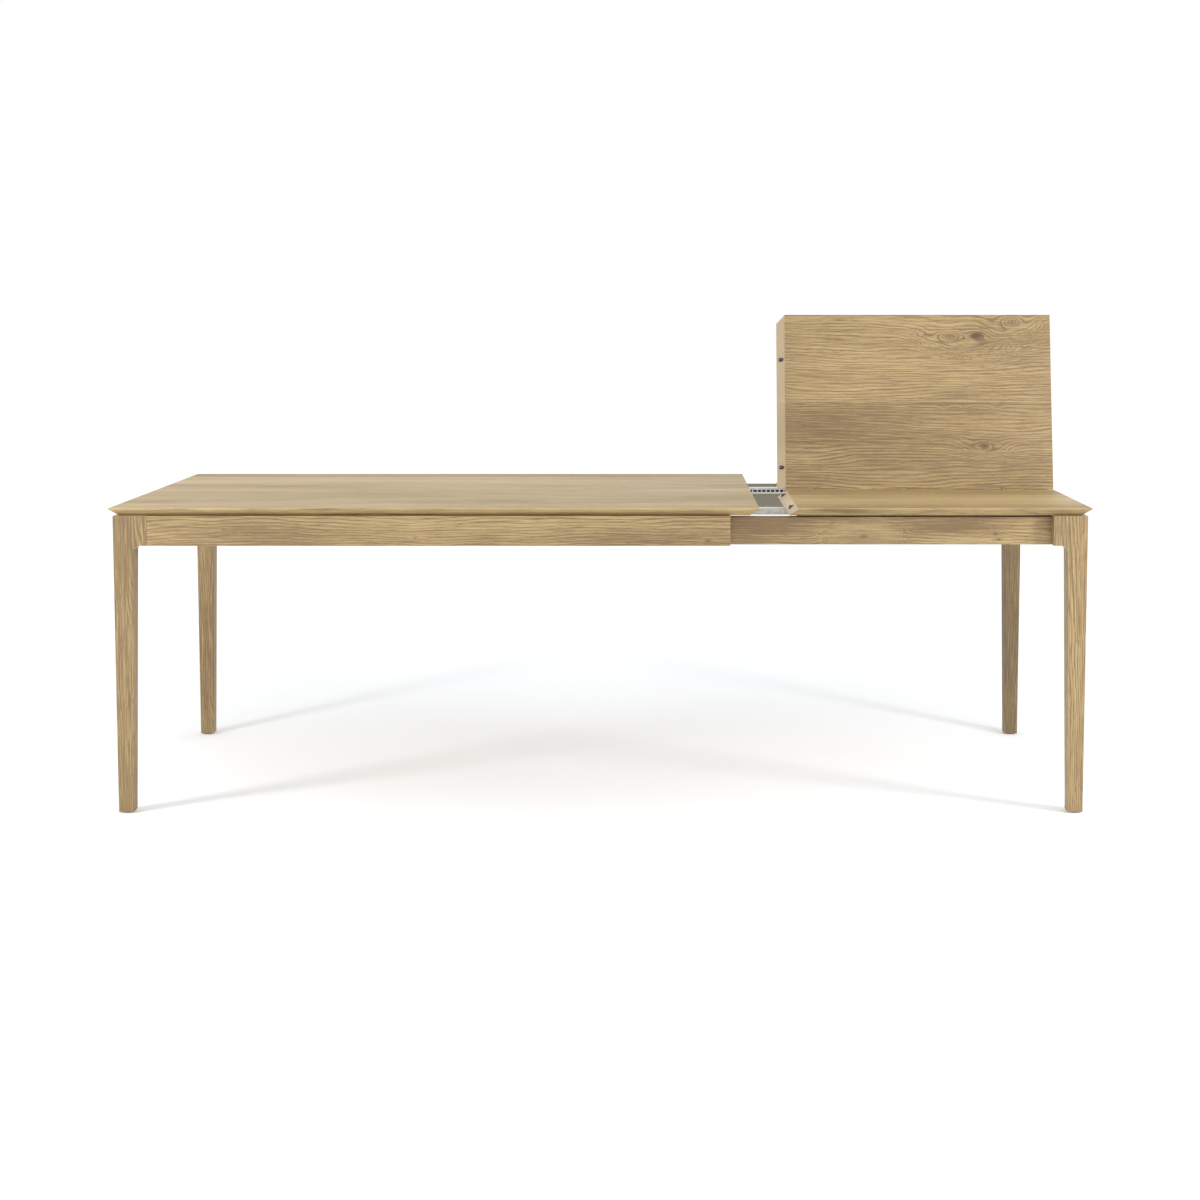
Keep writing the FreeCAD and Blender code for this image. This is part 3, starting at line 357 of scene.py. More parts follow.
def growth_lines(tree, across, slow, wobble, fibre, ring, nearness):
    """Dark early wood and paler late wood of each year, one ring width apart, as a tone."""
    wave = add(tree, "Math", {0: slow, 1: 0.075, 2: across}, operation="MULTIPLY_ADD")
    wave = add(tree, "Math", {0: wobble, 1: 0.0042, 2: wave}, operation="MULTIPLY_ADD")
    count = add(tree, "Math", {0: wave, 1: ring}, operation="DIVIDE")
    count = add(tree, "Math", {0: fibre, 1: 0.40, 2: count}, operation="MULTIPLY_ADD")
    year = add(tree, "Math", {0: count}, operation="FRACT")
    year_number = add(tree, "Math", {0: count}, operation="FLOOR")
    year_luck = add(tree, "TexWhiteNoise", {"W": year_number}, noise_dimensions="1D")
    lines = add(tree, "ValToRGB", {0: year}, stops=[
        (0.0, grey(0.0)), (0.12, grey(0.16)), (0.34, grey(0.74)), (0.62, grey(1.0)),
        (0.93, grey(0.84)), (1.0, grey(0.06))])
    strength = add(tree, "MapRange", {"Value": year_luck, "From Min": 0.0, "From Max": 1.0,
                                      "To Min": 0.3, "To Max": 1.25})
    if nearness is not None:
        # The lines crowd and darken in the swirl round a knot.
        strength = add(tree, "Math", {0: nearness, 1: 0.8, 2: strength}, operation="MULTIPLY_ADD")
    lines = add(tree, "Math", {0: lines, 1: -0.72}, operation="ADD")
    return add(tree, "Math", {0: lines, 1: strength}, operation="MULTIPLY")


def oak_colour(tree, where, total, heart, grain, darker, inner_shade_within):
    """The wood's colour from its tone, then the knots, the end grain, and painted shade: a darker
    whole board, and a darker, greyer inner face.
    """
    colours = bpy.context.scene.table_colours
    wood = add(tree, "ValToRGB", {0: total}, stops=[
        (0.08, tuple(colours.oak_dark)), (0.50, tuple(colours.oak_middle)),
        (0.92, tuple(colours.oak_light))])
    if heart is not None:
        shown = add(tree, "Math", {0: heart, 1: 1.0}, operation="MINIMUM", use_clamp=True)
        wood = add(tree, "Mix", {0: shown, 6: wood.outputs["Color"], 7: tuple(colours.oak_knot)},
                   data_type="RGBA").outputs[2]
    facing = add(tree, "VectorMath", {0: add(tree, "TexCoord").outputs["Normal"], 1: grain},
                 operation="DOT_PRODUCT").outputs["Value"]
    facing = add(tree, "Math", {0: facing}, operation="ABSOLUTE")
    end = add(tree, "MapRange", {"Value": facing, "From Min": 0.45, "From Max": 0.60,
                                 "To Max": 0.55})
    wood = add(tree, "Mix", {0: end, 6: wood, 7: tuple(colours.oak_end)},
               data_type="RGBA").outputs[2]
    # Painted shade: the whole board is made darker, for a piece that stands in shade.
    if darker:
        wood = add(tree, "Mix", {0: 1.0, 6: wood, 7: grey(1.0 - darker)}, data_type="RGBA",
                   blend_type="MULTIPLY").outputs[2]
    # Painted shade: the inner faces, which lie in shade under the boards, get a darker, greyer
    # colour.
    if inner_shade_within:
        side = add(tree, "SeparateXYZ", {0: where}).outputs["Y"]
        side = add(tree, "Math", {0: side}, operation="ABSOLUTE")
        bare = add(tree, "Math", {0: side, 1: inner_shade_within}, operation="LESS_THAN")
        bare = add(tree, "Math", {0: bare, 1: 0.92}, operation="MULTIPLY")
        wood = add(tree, "Mix", {0: bare, 6: wood, 7: tuple(colours.oak_inner_shade)},
                   data_type="RGBA").outputs[2]
    return wood


def oak_material(name, turn=FLAT, shift=FLAT, grain=ALONG_X, stave=0.118, stave_break=0.0,
                 stave_tone=0.16, ring=0.010, tone=0.0, knots=(), clouds=(), inner_shade_within=0.0,
                 darker=0.0):
    """Planed, brushed and clear-oiled European oak: fine dark pore lines along each growth
    ring, slow colour changes from stave to stave, knots that the lines bow round, and a
    satin surface that is a little rougher in the pores. Faces across the grain are paler.
    turn and shift lay the grain along the board, and ring is the width of a year's growth.
    Each knot is given by its middle, its half sizes along and across the grain, and how dark
    its heart is, and each cloud by its middle, half sizes and how much lighter it is.
    The last two are painted shade: how far off the table's centre plane the inner face reaches that
    is painted darker and greyer, for the shade under the boards, and how much darker the whole
    board is painted, for a piece that stands in shade."""
    material, tree = start_material(name)
    where = add(tree, "TexCoord").outputs["Object"]
    place = add(tree, "Mapping", {"Vector": where, "Rotation": turn, "Location": shift})
    parts = add(tree, "SeparateXYZ", {0: place})

    row = add(tree, "Math", {0: parts.outputs["Y"], 1: stave}, operation="DIVIDE")
    row = add(tree, "Math", {0: row}, operation="FLOOR")
    stave_luck = add(tree, "TexWhiteNoise", {"W": row}, noise_dimensions="1D")
    jump = add(tree, "VectorMath", {0: stave_luck.outputs["Color"],
                                    1: (3.0 * stave_break, 0.0, 1.5 * stave_break)},
               operation="MULTIPLY")
    board = add(tree, "VectorMath", {0: place, 1: jump}, operation="ADD")
    slow, wobble, fibre, pore = oak_figure(tree, board)

    across = add(tree, "Math", {0: parts.outputs["Z"], 1: 0.8, 2: parts.outputs["Y"]},
                 operation="MULTIPLY_ADD")
    across, heart, nearness = part_round_knots(tree, place, wobble, across, knots)
    ring_tone = growth_lines(tree, across, slow, wobble, fibre, ring, nearness)

    total = add(tree, "Math", {0: ring_tone, 1: 0.38, 2: 0.50 + tone}, operation="MULTIPLY_ADD")
    for luck, share in ((fibre, 1.35), (slow, 0.60), (stave_luck, stave_tone)):
        off_middle = add(tree, "Math", {0: luck, 1: -0.5}, operation="ADD")
        total = add(tree, "Math", {0: off_middle, 1: share, 2: total}, operation="MULTIPLY_ADD")
    for middle, half_length, half_width, lighter in clouds:
        squeezed = squeezed_offset(tree, place, middle, half_length, half_width)
        distance = add(tree, "VectorMath", {0: squeezed, 1: squeezed},
                       operation="DOT_PRODUCT").outputs["Value"]
        fall = add(tree, "Math", {0: distance, 1: -1.0}, operation="MULTIPLY")
        fade = add(tree, "Math", {0: fall}, operation="EXPONENT")
        total = add(tree, "Math", {0: fade, 1: lighter, 2: total}, operation="MULTIPLY_ADD")
    dash = add(tree, "MapRange", {"Value": pore, "From Min": 0.60, "From Max": 0.72,
                                  "To Min": 0.0, "To Max": 1.0})
    total = add(tree, "Math", {0: dash, 1: -0.30, 2: total}, operation="MULTIPLY_ADD")

    wood = oak_colour(tree, where, total, heart, grain, darker, inner_shade_within)
    relief = add(tree, "Math", {0: dash, 1: -0.7, 2: total}, operation="MULTIPLY_ADD")
    bump = add(tree, "Bump", {"Strength": 0.35, "Distance": 0.0005, "Height": relief})
    # The satin oil lies flatter on the pale late wood than in the dark pores.
    gloss = add(tree, "MapRange", {"Value": total, "From Min": 0.1, "From Max": 0.9,
                                   "To Min": 0.58, "To Max": 0.44})
    shader = add(tree, "BsdfPrincipled", {"Base Color": wood, "Roughness": gloss, "IOR": 1.5,
                                          "Normal": bump})
    finish_material(tree, shader)
    return material


def beech_material(name, turn):
    """Steamed beech, sawn and sanded: even pinkish wood with short dark ray flecks."""
    colours = bpy.context.scene.table_colours
    material, tree = start_material(name)
    where = add(tree, "TexCoord").outputs["Object"]
    place = add(tree, "Mapping", {"Vector": where, "Rotation": turn})
    # Flecks drawn at 2 mm by 12 mm, about twice their real size.
    fleck_place = add(tree, "VectorMath", {0: place, 1: (80.0, 480.0, 480.0)},
                      operation="MULTIPLY")
    fleck = add(tree, "TexNoise", {"Vector": fleck_place, "Scale": 1.0, "Detail": 2.0})
    slow_place = add(tree, "VectorMath", {0: place, 1: (4.0, 60.0, 60.0)}, operation="MULTIPLY")
    slow = add(tree, "TexNoise", {"Vector": slow_place, "Scale": 1.0, "Detail": 3.0})
    total = add(tree, "Math", {0: fleck, 1: slow}, operation="ADD")
    wood = add(tree, "ValToRGB", {0: add(tree, "Math", {0: total, 1: 0.5},
                                         operation="MULTIPLY")},
               stops=[(0.36, tuple(colours.beech_dark)), (0.62, tuple(colours.beech_light))])
    bump = add(tree, "Bump", {"Strength": 0.2, "Distance": 0.0003, "Height": fleck})
    shader = add(tree, "BsdfPrincipled", {"Base Color": wood, "Roughness": 0.55, "IOR": 1.5,
                                          "Normal": bump})
    finish_material(tree, shader)
    return material


def rail_material(name, inner, outer):
    """Natural anodised, extruded aluminium: pale satin metal with faint die lines along it,
    and painted shade: a near-black, dull band in the ball grooves, from inner to outer off the
    rail's middle."""
    colours = bpy.context.scene.table_colours
    material, tree = start_material(name)
    where = add(tree, "TexCoord").outputs["Object"]
    parts = add(tree, "SeparateXYZ", {0: where})
    low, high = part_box("rail_balls")
    rail_low, rail_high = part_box("inner_rail_back")
    middle_y, middle_z = (rail_low.y + rail_high.y) / 2, (low.z + high.z) / 2
    # Die lines drawn 1.5 mm apart.
    line_place = add(tree, "VectorMath", {0: where, 1: (2.0, 700.0, 700.0)},
                     operation="MULTIPLY")
    lines = add(tree, "TexNoise", {"Vector": line_place, "Scale": 1.0, "Detail": 2.0})
    metal = add(tree, "Mix", {0: lines, 6: tuple(0.88 * c for c in colours.aluminium[:3]) + (1,),
                              7: tuple(colours.aluminium)}, data_type="RGBA").outputs[2]
    side = add(tree, "Math", {0: parts.outputs["Y"]}, operation="ABSOLUTE")
    off = add(tree, "Math", {0: add(tree, "Math", {0: side, 1: middle_y},
                                    operation="SUBTRACT")}, operation="ABSOLUTE")
    past = add(tree, "Math", {0: off, 1: inner}, operation="GREATER_THAN")
    within = add(tree, "Math", {0: off, 1: outer}, operation="LESS_THAN")
    height = add(tree, "Math", {0: parts.outputs["Z"], 1: middle_z, 2: 0.0033},
                 operation="COMPARE")
    groove = add(tree, "Math", {0: add(tree, "Math", {0: past, 1: within},
                                       operation="MULTIPLY"), 1: height}, operation="MULTIPLY")
    # Painted shade: the groove band takes the near-black groove colour, for the shade behind the
    # cages.
    paint = add(tree, "Mix", {0: groove, 6: metal, 7: tuple(colours.groove_shade)},
                data_type="RGBA").outputs[2]
    bare = add(tree, "Math", {0: 1.0, 1: groove}, operation="SUBTRACT")
    rough = add(tree, "MapRange", {"Value": lines, "To Min": 0.38, "To Max": 0.52})
    bump = add(tree, "Bump", {"Strength": 0.15, "Distance": 0.0002, "Height": lines})
    shader = add(tree, "BsdfPrincipled", {"Base Color": paint, "Metallic": bare,
                                          "Roughness": rough, "Normal": bump})
    finish_material(tree, shader)
    return material


def metal_material(name, shade, low_rough, high_rough, mottle):
    """Plated or polished steel, steel pins darkened as painted shade, or aged brass: a cloudy bloom
    that is duller where it is paler. mottle is the size of its clouds."""
    material, tree = start_material(name)
    where = add(tree, "TexCoord").outputs["Object"]
    clouds = add(tree, "TexNoise", {"Vector": where, "Scale": 1.0 / mottle, "Detail": 4.0})
    dark = tuple(0.78 * c for c in shade[:3]) + (1.0,)
    metal = add(tree, "ValToRGB", {0: clouds}, stops=[(0.35, dark), (0.65, tuple(shade))])
    rough = add(tree, "MapRange", {"Value": clouds, "From Min": 0.3, "From Max": 0.7,
                                   "To Min": low_rough, "To Max": high_rough})
    bump = add(tree, "Bump", {"Strength": 0.1, "Distance": 0.0001, "Height": clouds})
    shader = add(tree, "BsdfPrincipled", {"Base Color": metal, "Metallic": 1.0,
                                          "Roughness": rough, "Normal": bump})
    finish_material(tree, shader)
    return material


def nylon_material(name):
    """Moulded nylon: dull and slightly waxy, with a fine moulded texture."""
    colours = bpy.context.scene.table_colours
    material, tree = start_material(name)
    where = add(tree, "TexCoord").outputs["Object"]
    # Moulded grain drawn at 1 mm.
    grain = add(tree, "TexNoise", {"Vector": where, "Scale": 1000.0, "Detail": 2.0})
    pale = tuple(min(1.0, 1.35 * c) for c in colours.nylon[:3]) + (1.0,)
    shade = add(tree, "ValToRGB", {0: grain}, stops=[(0.3, tuple(colours.nylon)), (0.7, pale)])
    bump = add(tree, "Bump", {"Strength": 0.2, "Distance": 0.0002, "Height": grain})
    shader = add(tree, "BsdfPrincipled", {"Base Color": shade, "Roughness": 0.5, "IOR": 1.53,
                                          "Normal": bump})
    finish_material(tree, shader)
    return material


def floor_material(name):
    """Matt floor paint, rolled on: barely cloudy, and glowing more beyond the table, like a
    sweep lit from behind."""
    settings = bpy.context.scene.table_studio
    material, tree = start_material(name)
    where = add(tree, "TexCoord").outputs["Object"]
    cloud = add(tree, "TexNoise", {"Vector": where, "Scale": 1.5, "Detail": 2.0})
    shade = add(tree, "ValToRGB", {0: cloud}, stops=[
        (0.3, tuple(0.985 * c for c in settings.floor[:3]) + (1.0,)),
        (0.7, tuple(settings.floor))])
    far = add(tree, "VectorMath", {0: where, 1: (0.5, 1.0, 0.0)}, operation="MULTIPLY")
    far = add(tree, "VectorMath", {0: far}, operation="LENGTH").outputs["Value"]
    far = add(tree, "MapRange", {"Value": far, "From Min": 0.9, "From Max": 3.2,
                                 "To Min": 0.52, "To Max": 1.0})
    glow = add(tree, "CombineColor", {0: far, 1: far, 2: far})
    shader = add(tree, "BsdfPrincipled", {"Base Color": shade, "Roughness": 0.8,
                                          "Emission Color": glow, "Emission Strength": 0.26})
    finish_material(tree, shader)
    return material


# ---- Shapes -----------------------------------------------------------------------
def planed_board(name, low, high, lip=0.0, seam_side=0):
    """A board from low to high whose free edges have an upright land and a long bevel under
    it. With a lip its near end runs in the other way, under the main top's bevel. seam_side is
    1 or -1 where the board's high-Y or low-Y edge is square, at the seam."""
    sizes = bpy.context.scene.table_sizes
    board = start_block(name, (low.x, low.y, high.z - sizes.edge_land), high)
    bpy.ops.object.mode_set(mode="EDIT")
    pick(board, "FACE", lambda f: f.normal.z < -0.9)
    down = (high.z - low.z) - sizes.edge_land
    bpy.ops.mesh.extrude_region_move(TRANSFORM_OT_translate={"value": (0.0, 0.0, -down)})
    span_x, span_y = high.x - low.x, high.y - low.y
    if lip:
        bpy.ops.transform.translate(value=(-lip, 0.0, 0.0))
        scale_x = 1.0
    else:
        scale_x = (span_x - 2 * sizes.edge_bevel) / span_x
    free_edges = 1 if seam_side else 2
    scale_y = (span_y - free_edges * sizes.edge_bevel) / span_y
    fixed_y = {0: (low.y + high.y) / 2, 1: high.y, -1: low.y}[seam_side]
    bpy.ops.transform.resize(value=(scale_x, scale_y, 1.0),
                             center_override=((low.x + high.x) / 2, fixed_y, low.z))
    soften(board, sizes.arris)
    return board


def apron_board(name, node):
    """An apron with softened edges, in its CAD node's box."""
    low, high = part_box(node)
    board = start_block(name, low, high)
    bpy.ops.object.mode_set(mode="EDIT")
    soften(board, bpy.context.scene.table_sizes.arris)
    return board


def leg_shaft(name, node, apron_node):
    """Front left leg: a shaft that tapers to its foot, with knees to both aprons and a
    hollow under each knee."""
    sizes = bpy.context.scene.table_sizes
    low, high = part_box(node)
    apron_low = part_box(apron_node)[0]
    corner = Vector((low.x, low.y, 0.0))
    inner = corner + Vector((sizes.leg_thickness, sizes.leg_thickness, 0.0))
    leg = start_block(name, (corner.x, corner.y, low.z), (inner.x, inner.y, high.z))
    bpy.ops.object.mode_set(mode="EDIT")
    pick(leg, "FACE", lambda f: f.normal.z < -0.9)
    middle = (corner + inner) / 2
    scale = sizes.foot_thickness / sizes.leg_thickness
    bpy.ops.transform.resize(value=(scale, scale, 1.0), center_override=middle)
    bpy.ops.mesh.select_all(action="SELECT")
    bpy.ops.mesh.bisect(plane_co=(0.0, 0.0, apron_low.z), plane_no=(0.0, 0.0, 1.0))
    # The head's inner faces stand upright, so its outer faces alone carry the taper on.
    share = (high.z - apron_low.z) / (high.z - low.z)
    lean = (sizes.leg_thickness - sizes.foot_thickness) / 2 * share
    pick(leg, "VERT", lambda v: abs(v.co.z - apron_low.z) < 1e-5)
    grown = (sizes.leg_thickness - lean) / (sizes.leg_thickness - 2 * lean)
    outer = corner + Vector((lean, lean, 0.0))
    bpy.ops.transform.resize(value=(grown, grown, 1.0), center_override=outer)
    for axis in (0, 1):
        pick(leg, "FACE", lambda f: f.normal[axis] > 0.9
             and f.calc_center_median().z > apron_low.z
             and abs(f.calc_center_median()[axis] - inner[axis]) < 1e-4)
        move = [0.0, 0.0, 0.0]
        move[axis] = sizes.knee_length
        bpy.ops.mesh.extrude_region_move(TRANSFORM_OT_translate={"value": move})
    pick(leg, "EDGE", lambda e: all(abs(v.co.z - apron_low.z) < 1e-5 for v in e.verts)
         and any(all(abs(v.co[axis] - inner[axis]) < 1e-4 for v in e.verts) for axis in (0, 1)))
    bpy.ops.mesh.bevel(offset=sizes.knee_radius, segments=sizes.knee_segments, affect="EDGES",
                       loop_slide=False)
    soften(leg, sizes.arris)
    return leg


def pin_rows():
    """How far off the table's middle the alignment pins stand, on each half of the leaf."""
    low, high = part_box("alignment_pins_front")
    return [-(low.y + PIN_RADIUS), -(high.y - PIN_RADIUS)]


# ---- Operators --------------------------------------------------------------------
class TABLE_OT_main_top(bpy.types.Operator):
    """Main top: a long board, bevelled all round, with sockets for the leaf's pins and
    pockets under it for the rails"""

    bl_idname = "table.main_top"
    bl_label = "Main top"

    def execute(self, context):
        low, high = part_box("main_top")
        top = planed_board("main_top_board", low, high)
        mid_z = (low.z + high.z) / 2
        sockets = [start_rod((high.x - SOCKET_MIDDLE, side * y, mid_z), SOCKET_RADIUS,
                             SOCKET_DEPTH, UPRIGHT)
                   for y in pin_rows() for side in (-1, 1)]
        pockets = []
        for rail in ("outer_rail_front", "outer_rail_back"):
            rail_low, rail_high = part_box(rail)
            pockets.append(start_block(
                "pocket",
                (rail_low.x - POCKET_SLACK.x, rail_low.y - POCKET_SLACK.y, low.z - OVER),
                (rail_high.x + POCKET_SLACK.x, rail_high.y + POCKET_SLACK.y, rail_high.z)))
        carve(top, sockets + pockets)
        oak = oak_material("oiled_oak_main_top", shift=(0.31, 0.045, 0.0), stave=0.105,
                           stave_break=1.0, stave_tone=0.30, ring=0.012, tone=0.14)
        finish_piece(top, "main_top", "main_frame", oak)
        return {"FINISHED"}


class TABLE_OT_leaf(bpy.types.Operator):
    """Folding leaf: two halves with a lip towards the main top, the back one standing"""

    bl_idname = "table.leaf"
    bl_label = "Folding leaf"

    def execute(self, context):
        sizes = context.scene.table_sizes
        box_low, box_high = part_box("leaf_front")
        near = Vector((box_low.x + sizes.edge_bevel, box_low.y, box_low.z))
        for side, name, body in ((-1, "leaf_front", "leaf_front_half"),
                                 (1, "leaf_back", "leaf_back_half")):
            low, high = near.copy(), box_high.copy()
            if side > 0:
                low.y, high.y = -box_high.y, -near.y
            board = planed_board(name + "_board", low, high, lip=sizes.edge_bevel,
                                 seam_side=-side)
            carve(board, self.cutters(side, low, high))
            if side > 0:
                lie_place(board, Matrix.Translation(HINGE_LINE)
                          @ Matrix.Rotation(STAND, 4, "X") @ Matrix.Translation(-HINGE_LINE))
            finish_piece(board, name, body, self.oak(side))
        return {"FINISHED"}

    def cutters(self, side, low, high):
        """Pin holes, hinge mortises and, on the back half, the shortened lip, lying flat."""
        mid_z = (low.z + high.z) / 2
        holes = [start_rod((low.x + PIN_ROOT_MIDDLE, side * y, mid_z), PIN_ROOT_RADIUS,
                           PIN_ROOT_DEPTH, UPRIGHT) for y in pin_rows()]
        plates_low, plates_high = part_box("hinge_plates_front")
        pitch = (plates_high.x - plates_low.x - HINGE_LENGTH) / (HINGE_COUNT - 1)
        half = HINGE_LENGTH / 2 + MORTISE_END_SLACK
        near_y, far_y = sorted((-side * OVER, side * MORTISE_REACH))
        for i in range(HINGE_COUNT):
            x = plates_low.x + HINGE_LENGTH / 2 + i * pitch
            floor_z = plates_low.z - MORTISE_FLOOR_SLACK
            holes.append(start_block("mortise", (x - half, near_y, floor_z),
                                     (x + half, far_y, high.z + OVER)))
            holes.append(start_rod((x, 0.0, HINGE_LINE.z), KNUCKLE_RADIUS, 2 * half, UPRIGHT))
        if side > 0:
            holes.append(start_block("relief", (low.x - RELIEF_LENGTH, -OVER, low.z - OVER),
                                     (low.x, RELIEF_WIDTH, high.z + OVER)))
        return holes

    def oak(self, side):
        """Grain along the table. The standing half has a large knot, its swirls and some pin
        knots, placed by their X and their height above the hinge line."""
        if side < 0:
            return oak_material("oiled_oak_leaf_front", shift=(0.0, 0.62, 0.0), stave=0.118,
                                stave_break=0.6, stave_tone=0.3, ring=0.010, tone=0.12)
        back = Matrix.Rotation(-STAND, 3, "X") @ -HINGE_LINE
        knots = [((1.009, 0.418, 0.0), 0.070, 0.034, 0.75),
                 ((1.105, 0.455, 0.0), 0.044, 0.024, 0.35),
                 ((0.935, 0.415, 0.0), 0.050, 0.020, 0.25),
                 ((1.025, 0.117, 0.0), 0.038, 0.020, 0.65),
                 ((0.917, 0.223, 0.0), 0.010, 0.005, 0.6),
                 ((0.970, 0.224, 0.0), 0.009, 0.004, 0.5),
                 ((1.059, 0.223, 0.0), 0.010, 0.005, 0.6)]
        # The standing half's lower tone than the flat half's is painted shade, for the shade it
        # stands in.
        return oak_material("oiled_oak_leaf_back", turn=(-STAND, 0.0, 0.0), shift=tuple(back),
                            stave=0.118, ring=0.0085, tone=-0.20, knots=knots)


class TABLE_OT_legs(bpy.types.Operator):
    """Four tapered legs with knees towards both aprons"""

    bl_idname = "table.legs"
    bl_label = "Legs"

    def execute(self, context):
        first = leg_shaft("leg_front_left_post", "leg_front_left", "end_apron_left")
        posts = {"leg_front_left": first}
        posts["leg_back_left"] = mirrored_copy(first, "leg_back_left_post", 1)
        posts["leg_front_right"] = mirrored_copy(first, "leg_front_right_post", 0)
        posts["leg_back_right"] = mirrored_copy(posts["leg_front_right"], "leg_back_right_post", 1)
        # Each leg is cut from its own place in the wood, given by shift. The back right leg's
        # darker factor and lower tone are painted shade, for the shade it stands in.
        for node, shift, tone, darker in (
                ("leg_front_left", (0.10, 0.012, 0.03), -0.18, 0.0),
                ("leg_back_left", (0.73, 0.37, 0.11), -0.12, 0.0),
                ("leg_front_right", (1.41, 0.21, 0.53), -0.16, 0.0),
                ("leg_back_right", (2.17, 0.11, 0.29), -0.22, 0.34)):
            body = "extension_frame" if node.endswith("right") else "main_frame"
            if body == "extension_frame":
                self.trim(posts[node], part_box(node)[1].z)
            oak = oak_material("oiled_oak_" + node, turn=UPRIGHT, shift=shift, grain=ALONG_Z,
                               stave=0.4, ring=0.0055, tone=tone, darker=darker)
            finish_piece(posts[node], node, body, oak)
        return {"FINISHED"}

    def trim(self, post, top):
        """Lowers the head's top to leave the running gap under the boards."""
        focus(post)
        bpy.ops.object.mode_set(mode="EDIT")
        highest = max(v.co.z for v in bmesh.from_edit_mesh(post.data).verts)
        softened = 2 * bpy.context.scene.table_sizes.arris
        pick(post, "VERT", lambda v: v.co.z > highest - softened)
        bpy.ops.transform.translate(value=(0.0, 0.0, top - highest))
        bpy.ops.object.mode_set(mode="OBJECT")


class TABLE_OT_aprons(bpy.types.Operator):
    """Outer, inner and end aprons"""

    bl_idname = "table.aprons"
    bl_label = "Aprons"

    def execute(self, context):
        # Knots and clouds, placed by their X and their height above the floor.
        outer_knots = [((0.264, 0.678, 0.0), 0.010, 0.007, 0.8),
                       ((-0.926, 0.706, 0.0), 0.008, 0.004, 0.6),
                       ((-0.455, 0.687, 0.0), 0.008, 0.004, 0.6)]
        outer_clouds = [((-0.80, 0.70, 0.0), 0.20, 0.020, -0.12),
                        ((-0.20, 0.72, 0.0), 0.30, 0.018, 0.12),
                        ((0.15, 0.68, 0.0), 0.16, 0.020, -0.14)]
        inner_knots = [((0.651, 0.686, 0.0), 0.045, 0.016, 0.45),
                       ((0.977, 0.692, 0.0), 0.010, 0.006, 0.9),
                       ((0.986, 0.679, 0.0), 0.012, 0.005, 0.9)]
        # The first inner cloud, darker at the apron's left end, is painted shade where that end
        # sits back in shade; the others are the wood's own clouds.
        inner_clouds_and_shade = [((0.44, 0.72, 0.0), 0.16, 0.030, -0.40),
                        ((0.60, 0.70, 0.0), 0.14, 0.028, 0.20),
                        ((0.86, 0.71, 0.0), 0.10, 0.016, -0.28),
                        ((0.93, 0.675, 0.0), 0.16, 0.014, 0.22),
                        ((1.04, 0.71, 0.0), 0.08, 0.020, 0.14)]
        for node, tone, knots, clouds in (
                ("outer_apron_front", -0.16, outer_knots, outer_clouds),
                ("outer_apron_back", -0.18, (), outer_clouds),
                ("end_apron_left", -0.14, (), ()),
                ("inner_apron_front", -0.18, inner_knots, inner_clouds_and_shade),
                ("inner_apron_back", -0.18, (), inner_clouds_and_shade),
                ("end_apron_right", -0.14, (), ())):
            across = node.startswith("end")
            pulled_out = node.startswith("inner") or node == "end_apron_right"
            board = apron_board(node + "_board", node)
            oak = oak_material("oiled_oak_" + node, turn=CROSSWISE if across else ON_EDGE,
                               grain=ALONG_Y if across else ALONG_X, stave=0.5, ring=0.0085,
                               tone=tone, knots=knots, clouds=clouds,
                               inner_shade_within=self.inner_shade_within(node))
            finish_piece(board, node, "extension_frame" if pulled_out else "main_frame",
                         oak)
        return {"FINISHED"}

    def inner_shade_within(self, node):
        """The inner aprons' inner faces get painted shade, a darker, greyer colour for the shade
        under the boards: how far off the middle they stand.
        """
        if not node.startswith("inner"):
            return 0.0
        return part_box("inner_apron_back")[0].y + 0.0002


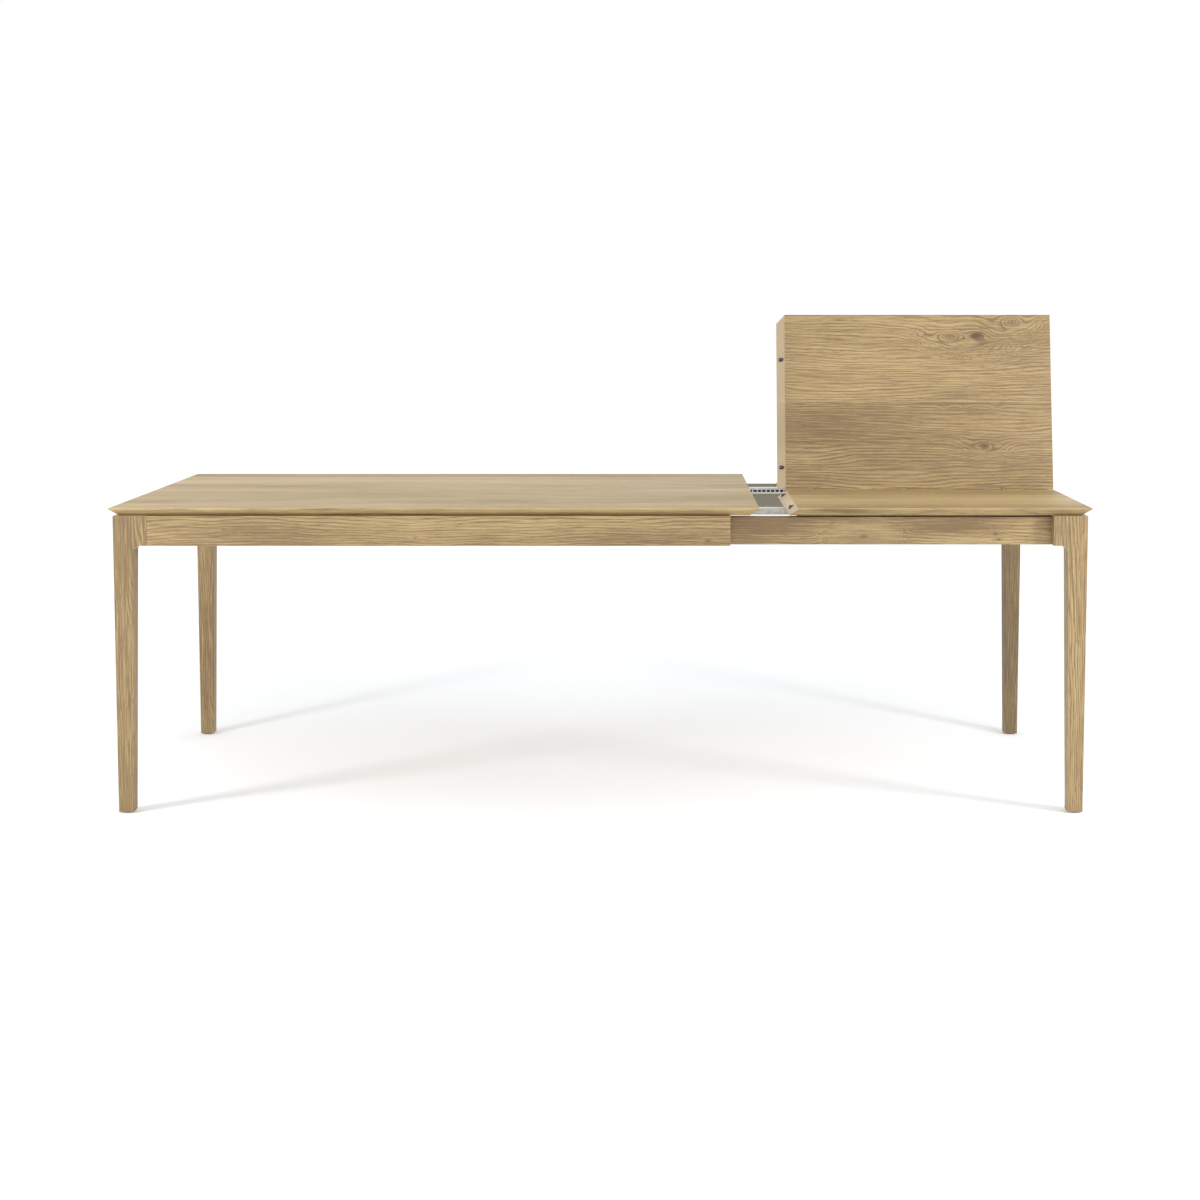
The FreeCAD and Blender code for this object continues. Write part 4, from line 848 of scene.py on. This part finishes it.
class TABLE_OT_fittings(bpy.types.Operator):
    """Finishes of the rails, cages, hinges, screws, dowels, bearers and pads"""

    bl_idname = "table.fittings"
    bl_label = "Fittings"

    def execute(self, context):
        colours = context.scene.table_colours
        inner_half, outer_half = (
            (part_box(rail)[1].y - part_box(rail)[0].y) / 2
            for rail in ("inner_rail_back", "outer_rail_back"))
        finishes = {
            "inner_rail": rail_material("anodised_aluminium_inner", inner_half - 0.005,
                                        inner_half - 0.0001),
            "outer_rail": rail_material("anodised_aluminium_outer", inner_half + 0.0037,
                                        outer_half - 0.0005),
            "ball_cage": metal_material("galvanised_steel", colours.cage, 0.4, 0.55, 0.012),
            "rail_balls": metal_material("polished_steel", colours.steel, 0.08, 0.12, 0.02),
            "zinc": metal_material("zinc_plated_steel", colours.zinc, 0.28, 0.42, 0.01),
            # The pins' dark colour is painted shade, for the shade under them.
            "pins": metal_material("steel_pins_painted_shade", colours.pins, 0.25, 0.4, 0.006),
            "brass": metal_material("aged_brass", colours.brass, 0.45, 0.6, 0.008),
            "nylon": nylon_material("moulded_nylon"),
            "beech": beech_material("sanded_beech", FLAT),
            "beech_bar": beech_material("sawn_beech", CROSSWISE),
        }
        # A node takes the finish of the longest of these that its name starts with.
        chosen = {
            "inner_rail": "inner_rail", "outer_rail": "outer_rail",
            "ball_cage": "ball_cage", "rail_balls": "rail_balls",
            "outer_rail_screws": "zinc", "apron_guide_screws": "zinc", "top_bracket": "zinc",
            "corner_bolts": "zinc", "rail_block_screws": "zinc",
            "hinge": "brass", "alignment_pins": "pins",
            "outer_rail_stops": "nylon", "inner_rail_plugs": "nylon",
            "foot_glides": "nylon", "apron_guides": "nylon",
            "joint_dowels": "beech", "top_dowels": "beech", "cross_bar_dowels": "beech",
            "rail_blocks": "beech", "leaf_bearers": "beech",
            "cross_bar": "beech_bar", "corner_braces": "beech_bar",
        }
        for name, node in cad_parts.items():
            if node.hide_render:
                continue
            key = max((k for k in chosen if name.startswith(k)), key=len)
            finish = finishes[chosen[key]]
            if node.material_slots:
                for cell in node.material_slots:
                    cell.material = finish
            else:
                node.data.materials.append(finish)
        return {"FINISHED"}


class TABLE_OT_studio(bpy.types.Operator):
    """Pale floor, soft studio light and the camera"""

    bl_idname = "table.studio"
    bl_label = "Studio"

    def execute(self, context):
        settings = context.scene.table_studio
        bpy.ops.object.select_all(action="DESELECT")
        bpy.ops.mesh.primitive_plane_add(size=60.0, location=(0.0, 0.0, 0.0))
        floor = context.object
        floor.name = "studio_floor"
        floor.data.materials.append(floor_material("matt_floor_paint"))

        world = bpy.data.worlds.new("studio_air")
        world.use_nodes = True
        back = world.node_tree.nodes["Background"]
        back.inputs["Color"].default_value = (1.0, 1.0, 1.0, 1.0)
        back.inputs["Strength"].default_value = settings.world_strength
        context.scene.world = world

        target = Vector((0.2, 0.0, 0.6))
        for name, place, size, power in (
                ("key_light", (2.6, -4.2, 3.2), 2.6, settings.key_power),
                ("left_light", (-2.6, -1.5, 1.35), 0.4, settings.side_power),
                ("right_light", (2.8, -1.4, 1.35), 0.4, settings.side_power)):
            bpy.ops.object.light_add(type="AREA", location=place)
            lamp = context.object
            lamp.name = name
            lamp.data.size = size
            lamp.data.energy = power
            aim = target - Vector(place)
            lamp.rotation_euler = aim.to_track_quat("-Z", "Y").to_euler()

        bpy.ops.object.camera_add(location=CAMERA_PLACE,
                                  rotation=(math.radians(90) - CAMERA_PITCH, 0.0, 0.0))
        camera = context.object
        camera.name = "studio_camera"
        camera.data.lens = settings.lens
        camera.data.shift_x, camera.data.shift_y = CAMERA_SHIFT
        camera.data.clip_end = 100.0
        context.scene.camera = camera
        context.scene.view_settings.view_transform = "Standard"
        return {"FINISHED"}


class TABLE_PT_panel(bpy.types.Panel):
    """Sizes, colours and building steps of the table"""

    bl_idname = "TABLE_PT_panel"
    bl_label = "Extending oak table"
    bl_space_type = "VIEW_3D"
    bl_region_type = "UI"
    bl_category = "Table"

    def draw(self, context):
        for group in ("table_sizes", "table_colours", "table_studio"):
            column = self.layout.column(align=True)
            settings = getattr(context.scene, group)
            for name in settings.__annotations__:
                column.prop(settings, name)
        for step in STEPS:
            self.layout.operator(step.bl_idname)


STEPS = (TABLE_OT_main_top, TABLE_OT_leaf, TABLE_OT_legs, TABLE_OT_aprons, TABLE_OT_fittings,
         TABLE_OT_studio)
GROUPS = {"table_sizes": TableSizes, "table_colours": TableColours,
          "table_studio": StudioSettings}


def register():
    for made in (*GROUPS.values(), *STEPS, TABLE_PT_panel):
        bpy.utils.register_class(made)
    for name, group in GROUPS.items():
        setattr(bpy.types.Scene, name, PointerProperty(type=group))


def unregister():
    for name in GROUPS:
        delattr(bpy.types.Scene, name)
    for made in reversed((*GROUPS.values(), *STEPS, TABLE_PT_panel)):
        bpy.utils.unregister_class(made)


def main():
    register()
    bpy.ops.table.main_top()
    bpy.ops.table.leaf()
    bpy.ops.table.legs()
    bpy.ops.table.aprons()
    bpy.ops.table.fittings()
    bpy.ops.table.studio()


if __name__ == "__main__":
    main()
